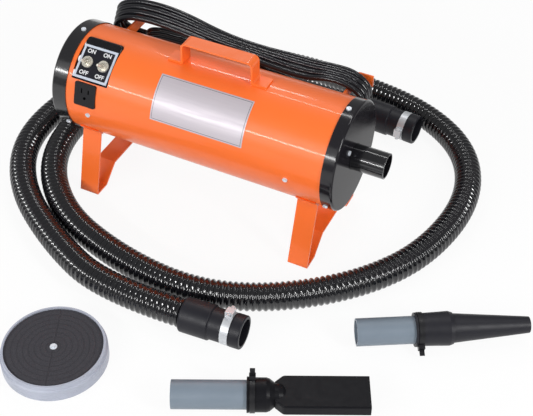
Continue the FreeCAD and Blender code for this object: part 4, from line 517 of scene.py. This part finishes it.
HOSE_ROUTE = [
    (0.163, 0.291, 0.028), (0.02, 0.303, 0.028), (-0.121, 0.283, 0.0231), (-0.238, 0.201, 0.0231),
    (-0.313, 0.07, 0.0231), (-0.296, -0.072, 0.0231), (-0.200, -0.179, 0.0231), (-0.063, -0.229, 0.0231),
    (0.08, -0.2435, 0.0231), (0.199, -0.202, 0.0231), (0.311, -0.114, 0.0231), (0.383, -0.002, 0.0231),
    (0.407, 0.149, 0.0231), (0.3625, 0.2706, 0.0231), (0.2556, 0.345, 0.0231), (0.108, 0.37, 0.0231),
    (-0.041, 0.376, 0.0231), (-0.186, 0.332, 0.0231), (-0.297, 0.237, 0.0231), (-0.358, 0.105, 0.0231),
    (-0.366, -0.043, 0.0231), (-0.298, -0.158, 0.0231), (-0.171, -0.244, 0.0231), (-0.04, -0.2995, 0.028),
    (0.097, -0.29, 0.028)]
HOSE_RADIUS = 0.023
HOSE_BORE = 0.018
RIB_PITCH = 0.0094
RIB_DEPTH = 0.0029
RIB_SHAPE = (0.0, 0.35, 0.80, 1.0, 1.0, 0.80, 0.35)
HOSE_SIDES = 28


def add_hose():
    """One tube with a rounded rib every pitch, and its bore."""
    line = Line(centre_line([Vector(p) for p in HOSE_ROUTE]))
    ribs = round(line.length / RIB_PITCH)
    pitch = line.length / ribs
    steps = len(RIB_SHAPE)
    rings = [(0.0, HOSE_BORE)]
    rings += [((rib + i / steps) * pitch, HOSE_RADIUS - RIB_DEPTH * (1 - RIB_SHAPE[i]))
              for rib in range(ribs) for i in range(steps)]
    rings += [(line.length, HOSE_RADIUS - RIB_DEPTH)]
    rings += [(line.length - rib * pitch, HOSE_BORE) for rib in range(ribs)]
    vertices = []
    for distance, radius in rings:
        centre, heading = line.point(distance), line.heading(distance)
        side = UP.cross(heading).normalized()
        above = heading.cross(side)
        for i in range(HOSE_SIDES):
            angle = 2 * math.pi * i / HOSE_SIDES
            vertices.append(centre + (side * math.cos(angle) + above * math.sin(angle)) * radius)
    faces = []
    count = len(rings)
    for ring in range(count):
        here, there = ring * HOSE_SIDES, (ring + 1) % count * HOSE_SIDES
        for i in range(HOSE_SIDES):
            j = (i + 1) % HOSE_SIDES
            faces.append((here + i, here + j, there + j, there + i))
    hose = add_mesh("ribbed_hose", vertices, faces, hose_vinyl())
    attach(hose, "dryer")
    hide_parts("hose")


# Power cord

CORD_RADIUS = 0.005
CORD_ROUNDNESS = 5
GLAND_TIP = Vector((0, 0.107852, 0.127708))
GLAND_OUT = Vector((0, 0.90631, -0.42262))
GLAND_RUN = 0.045
LEAD_ROUTE = [(-0.034, 0.182, 0.102), (-0.080, 0.180, 0.116), (-0.122, 0.158, 0.146),
              (-0.165, 0.1288, 0.1925)]
TAIL_ROUTE = [(0.221, 0.0958, 0.166), (0.224, 0.0975, 0.142), (0.224, 0.0975, 0.118)]

# The wound cord: one entry for each turn, the rear one first
REAR_Y, LAYER = 0.1288, 0.011
LEFT_X = (-0.254, -0.250, -0.246, -0.242)
LEFT_TOP = (0.257, 0.2535, 0.250, 0.246)
WAIST = (0.232, 0.234, 0.234, 0.230)
SAG = (0.233, 0.2315, 0.2275, 0.224)
RIGHT_TOP = (0.236, 0.2355, 0.235, 0.2345)
RIGHT_X = (0.218, 0.219, 0.220, 0.221)
LEFT_FOOT = (0.1925, 0.189, 0.1855, 0.1815)
LEFT_MIDDLE = (0.223, 0.2195, 0.216, 0.212)
LEFT_CREST = -0.180
LEFT_ROUND = 0.018
RISE_SHARE, REACH_SHARE = 0.45, 0.385
WAIST_LIFT, WAIST_DROP = 0.0027, 0.0016
RIGHT_SHOULDER, RIGHT_MIDDLE, RIGHT_FOOT = 0.2175, 0.186, 0.166

# X of the control points: over the hooks, low at the right hook, and on the way back under the turns.
# The last two are measured from the next turn's left fold. UNDER is the height on the way back, and the
# shares say how much of a layer the cord has moved forward by then.
OVER_X = (-0.134, -0.046, 0.026, 0.079, 0.122, 0.155, 0.1895)
LOW_X = (0.198, 0.120)
UNDER_X = (0.004, -0.094)
RETURN_X = (0.062, 0.057)
UNDER = 0.216
UNDER_SHARES = (0.3, 0.7)


def turn_points(turn):
    """Control points of one turn, from the foot of the left fold to the foot of the right fold."""
    y = REAR_Y - LAYER * turn
    left, right = LEFT_X[turn], RIGHT_X[turn]
    left_top, waist, sag, right_top = LEFT_TOP[turn], WAIST[turn], SAG[turn], RIGHT_TOP[turn]
    foot, middle = LEFT_FOOT[turn], LEFT_MIDDLE[turn]
    rise, reach = left_top - middle, LEFT_CREST - left
    heights = (left_top, waist + WAIST_LIFT, waist - WAIST_DROP, sag, sag, right_top, right_top)
    places = [(left + LEFT_ROUND, foot), (left, foot + LEFT_ROUND), (left, middle + RISE_SHARE * rise),
              (LEFT_CREST - REACH_SHARE * reach, left_top), *zip(OVER_X, heights), (right, RIGHT_SHOULDER)]
    return [Vector((x, y, z)) for x, z in places]


def crossing_points(turn):
    """Control points of the way back under the turns, from the right fold to the next left fold."""
    y = REAR_Y - LAYER * turn
    next_y, next_x = y - LAYER, LEFT_X[turn + 1]
    points = [Vector((RIGHT_X[turn], y, RIGHT_MIDDLE))]
    points += [Vector((x, y, RIGHT_FOOT)) for x in LOW_X]
    points += [Vector((x, y - LAYER * share, UNDER)) for x, share in zip(UNDER_X, UNDER_SHARES)]
    points += [Vector((next_x + x, next_y, z)) for x, z in zip(RETURN_X, (UNDER, LEFT_FOOT[turn + 1]))]
    return points


def add_cord():
    points = [GLAND_TIP, GLAND_TIP + GLAND_OUT * GLAND_RUN] + [Vector(p) for p in LEAD_ROUTE]
    turns = len(LEFT_X)
    for turn in range(turns):
        points += turn_points(turn)
        if turn < turns - 1:
            points += crossing_points(turn)
    points += [Vector(p) for p in TAIL_ROUTE]
    cord = nurbs_curve("power_cord", points)
    cord.data.bevel_depth = CORD_RADIUS
    cord.data.bevel_resolution = CORD_ROUNDNESS
    cord.data.use_fill_caps = True
    cord.data.materials.append(cord_rubber())
    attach(cord, "dryer")
    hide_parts("power_cord_lead", "power_cord_hank", "power_cord_tail")


# Words on the switch panel

PANEL_X = -0.1867
PANEL_ANGLE = math.radians(53)
PANEL_FACE = 0.0845
PLATE_THICKNESS = 0.0012
LEGEND_THICKNESS = 0.0002
TOGGLE_SPACING = 0.0296
WORD_HEIGHT = 0.0068
SIZE_PER_HEIGHT = 1.38
WORD_OUT = 0.0185
WORD_RAISE = 0.00008
WORD_WEIGHT = 0.00022


def panel_matrix(x, y, z):
    """Panel coordinates: along the tube, up the plate, and out of the tube from its axis."""
    lean = Matrix.Rotation(math.pi / 2 - PANEL_ANGLE, 4, "X")
    return Matrix.Translation((PANEL_X, 0, AXIS_HEIGHT)) @ lean @ Matrix.Translation((x, y, z))


def add_words():
    face = PANEL_FACE + PLATE_THICKNESS + LEGEND_THICKNESS
    material = printed_white()
    for side, x in (("left", -TOGGLE_SPACING / 2), ("right", TOGGLE_SPACING / 2)):
        for word, y in (("ON", WORD_OUT), ("OFF", -WORD_OUT)):
            data = bpy.data.curves.new(f"word_{word.lower()}_{side}", "FONT")
            data.body = word
            data.size = WORD_HEIGHT * SIZE_PER_HEIGHT
            data.align_x = "CENTER"
            data.align_y = "CENTER"
            data.extrude = WORD_RAISE
            data.offset = WORD_WEIGHT
            data.materials.append(material)
            piece = bpy.data.objects.new(data.name, data)
            piece.matrix_world = panel_matrix(x, y, face + WORD_RAISE)
            bpy.context.collection.objects.link(piece)
            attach(piece, "dryer")


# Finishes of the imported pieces

def finish_nodes():
    filter_low, filter_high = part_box("filter_ring")
    filter_centre = ((filter_low[0] + filter_high[0]) / 2, (filter_low[1] + filter_high[1]) / 2, 0)
    looks = (
        (paint_orange(), "body_tube handle left_foot right_foot cord_hook_left cord_hook_right"),
        (paint_black(), "intake_cap"),
        (paint_turned_cap(), "outlet_cap"),
        (paint_black("black_pipe", 0.12), "outlet_pipe"),
        (zinc(), "cap_screws rail_screws outlet_screws filter_screw motor_bearings"),
        (sheet_steel(), "intake_screen motor_rails motor_1_fan_case motor_2_fan_case"),
        (clamp_steel(), "clamp_bands clamp_housings clamp_screw_1 clamp_screw_2"),
        (nickel(), "toggle_nuts toggle_lever_left toggle_lever_right toggle_body_left toggle_body_right"),
        (nozzle_rubber(), "hose_cuff_1 hose_cuff_2 cone_nozzle motor_ring_1 motor_ring_2"),
        (grey_plastic(), "cone_nozzle_tube flat_nozzle_tube"),
        (cord_rubber(), "strain_relief plug_body"),
        (moulded_black(), "receptacle filter_grille motor_brushes"),
        (copper_core(), "motor_1_field motor_2_field motor_1_armature motor_2_armature"),
        (cast_aluminium(), "motor_1_frame motor_2_frame motor_1_impellers motor_2_impellers"),
        (switch_silver(), "switch_plate"),
        (moulded_black("switch_box_black", 0.24), "switch_box"),
        (printed_black(), "switch_legend"),
        (plate_aluminium(), "label_plate"),
        (brass(), "plug_blades"),
        (moulded_black("flat_nozzle_black", 0.36, 0.12), "flat_nozzle"),
        (tie_nylon(), "nozzle_ties"),
        (ring_plastic(), "filter_ring"),
        (foam(filter_centre), "filter_foam"),
    )
    for material, names in looks:
        for name in names.split():
            mesh = NODES[name].data
            for index in range(len(mesh.materials)):
                mesh.materials[index] = material
            if not mesh.materials:
                mesh.materials.append(material)


# Stage and light

FLOOR_SIZE = 12.0
FLOOR_DROP = 0.0005
BACKGROUND_LIFT = 0.92
WORLD_STRENGTH = 0.30

# Each lamp: name, place, target, size and power
LAMPS = (
    ("strip", (-0.5, -1.87, 1.09), (0.1, -0.09, 0.22), (2.4, 0.08), 24),
    ("front", (-0.6, -2.2, 1.4), (0, 0, 0.1), (2.4, 1.4), 9),
    ("top", (0.3, 0.9, 2.4), (0, 0, 0.1), (2.4, 0.1), 12),
    ("rear", (-0.8, 1.5, 1.75), (0, 0, 0.1), (0.6, 0.12), 5),
    ("right", (2.0, -0.6, 1.2), (0.1, 0, 0.15), (0.2, 0.9), 22),
)


def add_floor():
    """White to the camera and in reflections, so that next to no shade shows on it."""
    half = FLOOR_SIZE / 2
    corners = [(-half, -half, 0), (half, -half, 0), (half, half, 0), (-half, half, 0)]
    s = Shader("floor_white", (0.90, 0.90, 0.90), 0.9)
    path = s.node("ShaderNodeLightPath")
    glow = s.node("ShaderNodeEmission")
    mix = s.node("ShaderNodeMixShader")
    seen = s.math("MAXIMUM", path.outputs["Is Camera Ray"], path.outputs["Is Glossy Ray"])
    seen = s.math("MAXIMUM", seen, path.outputs["Is Transmission Ray"])
    s.link(s.math("MULTIPLY", seen, BACKGROUND_LIFT), mix.inputs[0])
    s.link(s.main.outputs[0], mix.inputs[1])
    s.link(glow.outputs[0], mix.inputs[2])
    s.link(mix.outputs[0], s.tree.nodes["Material Output"].inputs["Surface"])
    floor = add_mesh("floor", [Vector(c) for c in corners], [(0, 1, 2, 3)], s.material, smooth=False)
    floor.location.z = -FLOOR_DROP


def add_area(name, place, target, size, power):
    data = bpy.data.lights.new(name, "AREA")
    data.shape = "RECTANGLE"
    data.size, data.size_y = size
    data.energy = power
    lamp = bpy.data.objects.new(name, data)
    lamp.location = place
    lamp.rotation_euler = (Vector(target) - Vector(place)).to_track_quat("-Z", "Y").to_euler()
    bpy.context.collection.objects.link(lamp)


def add_light():
    world = bpy.data.worlds.new("studio")
    bpy.context.scene.world = world
    world.use_nodes = True
    background = world.node_tree.nodes["Background"]
    background.inputs["Color"].default_value = (1, 1, 1, 1)
    background.inputs["Strength"].default_value = WORLD_STRENGTH
    for lamp in LAMPS:
        add_area(*lamp)


add_camera()
add_hose()
add_cord()
add_words()
finish_nodes()
add_floor()
add_light()
bpy.context.scene.view_settings.view_transform = "Standard"
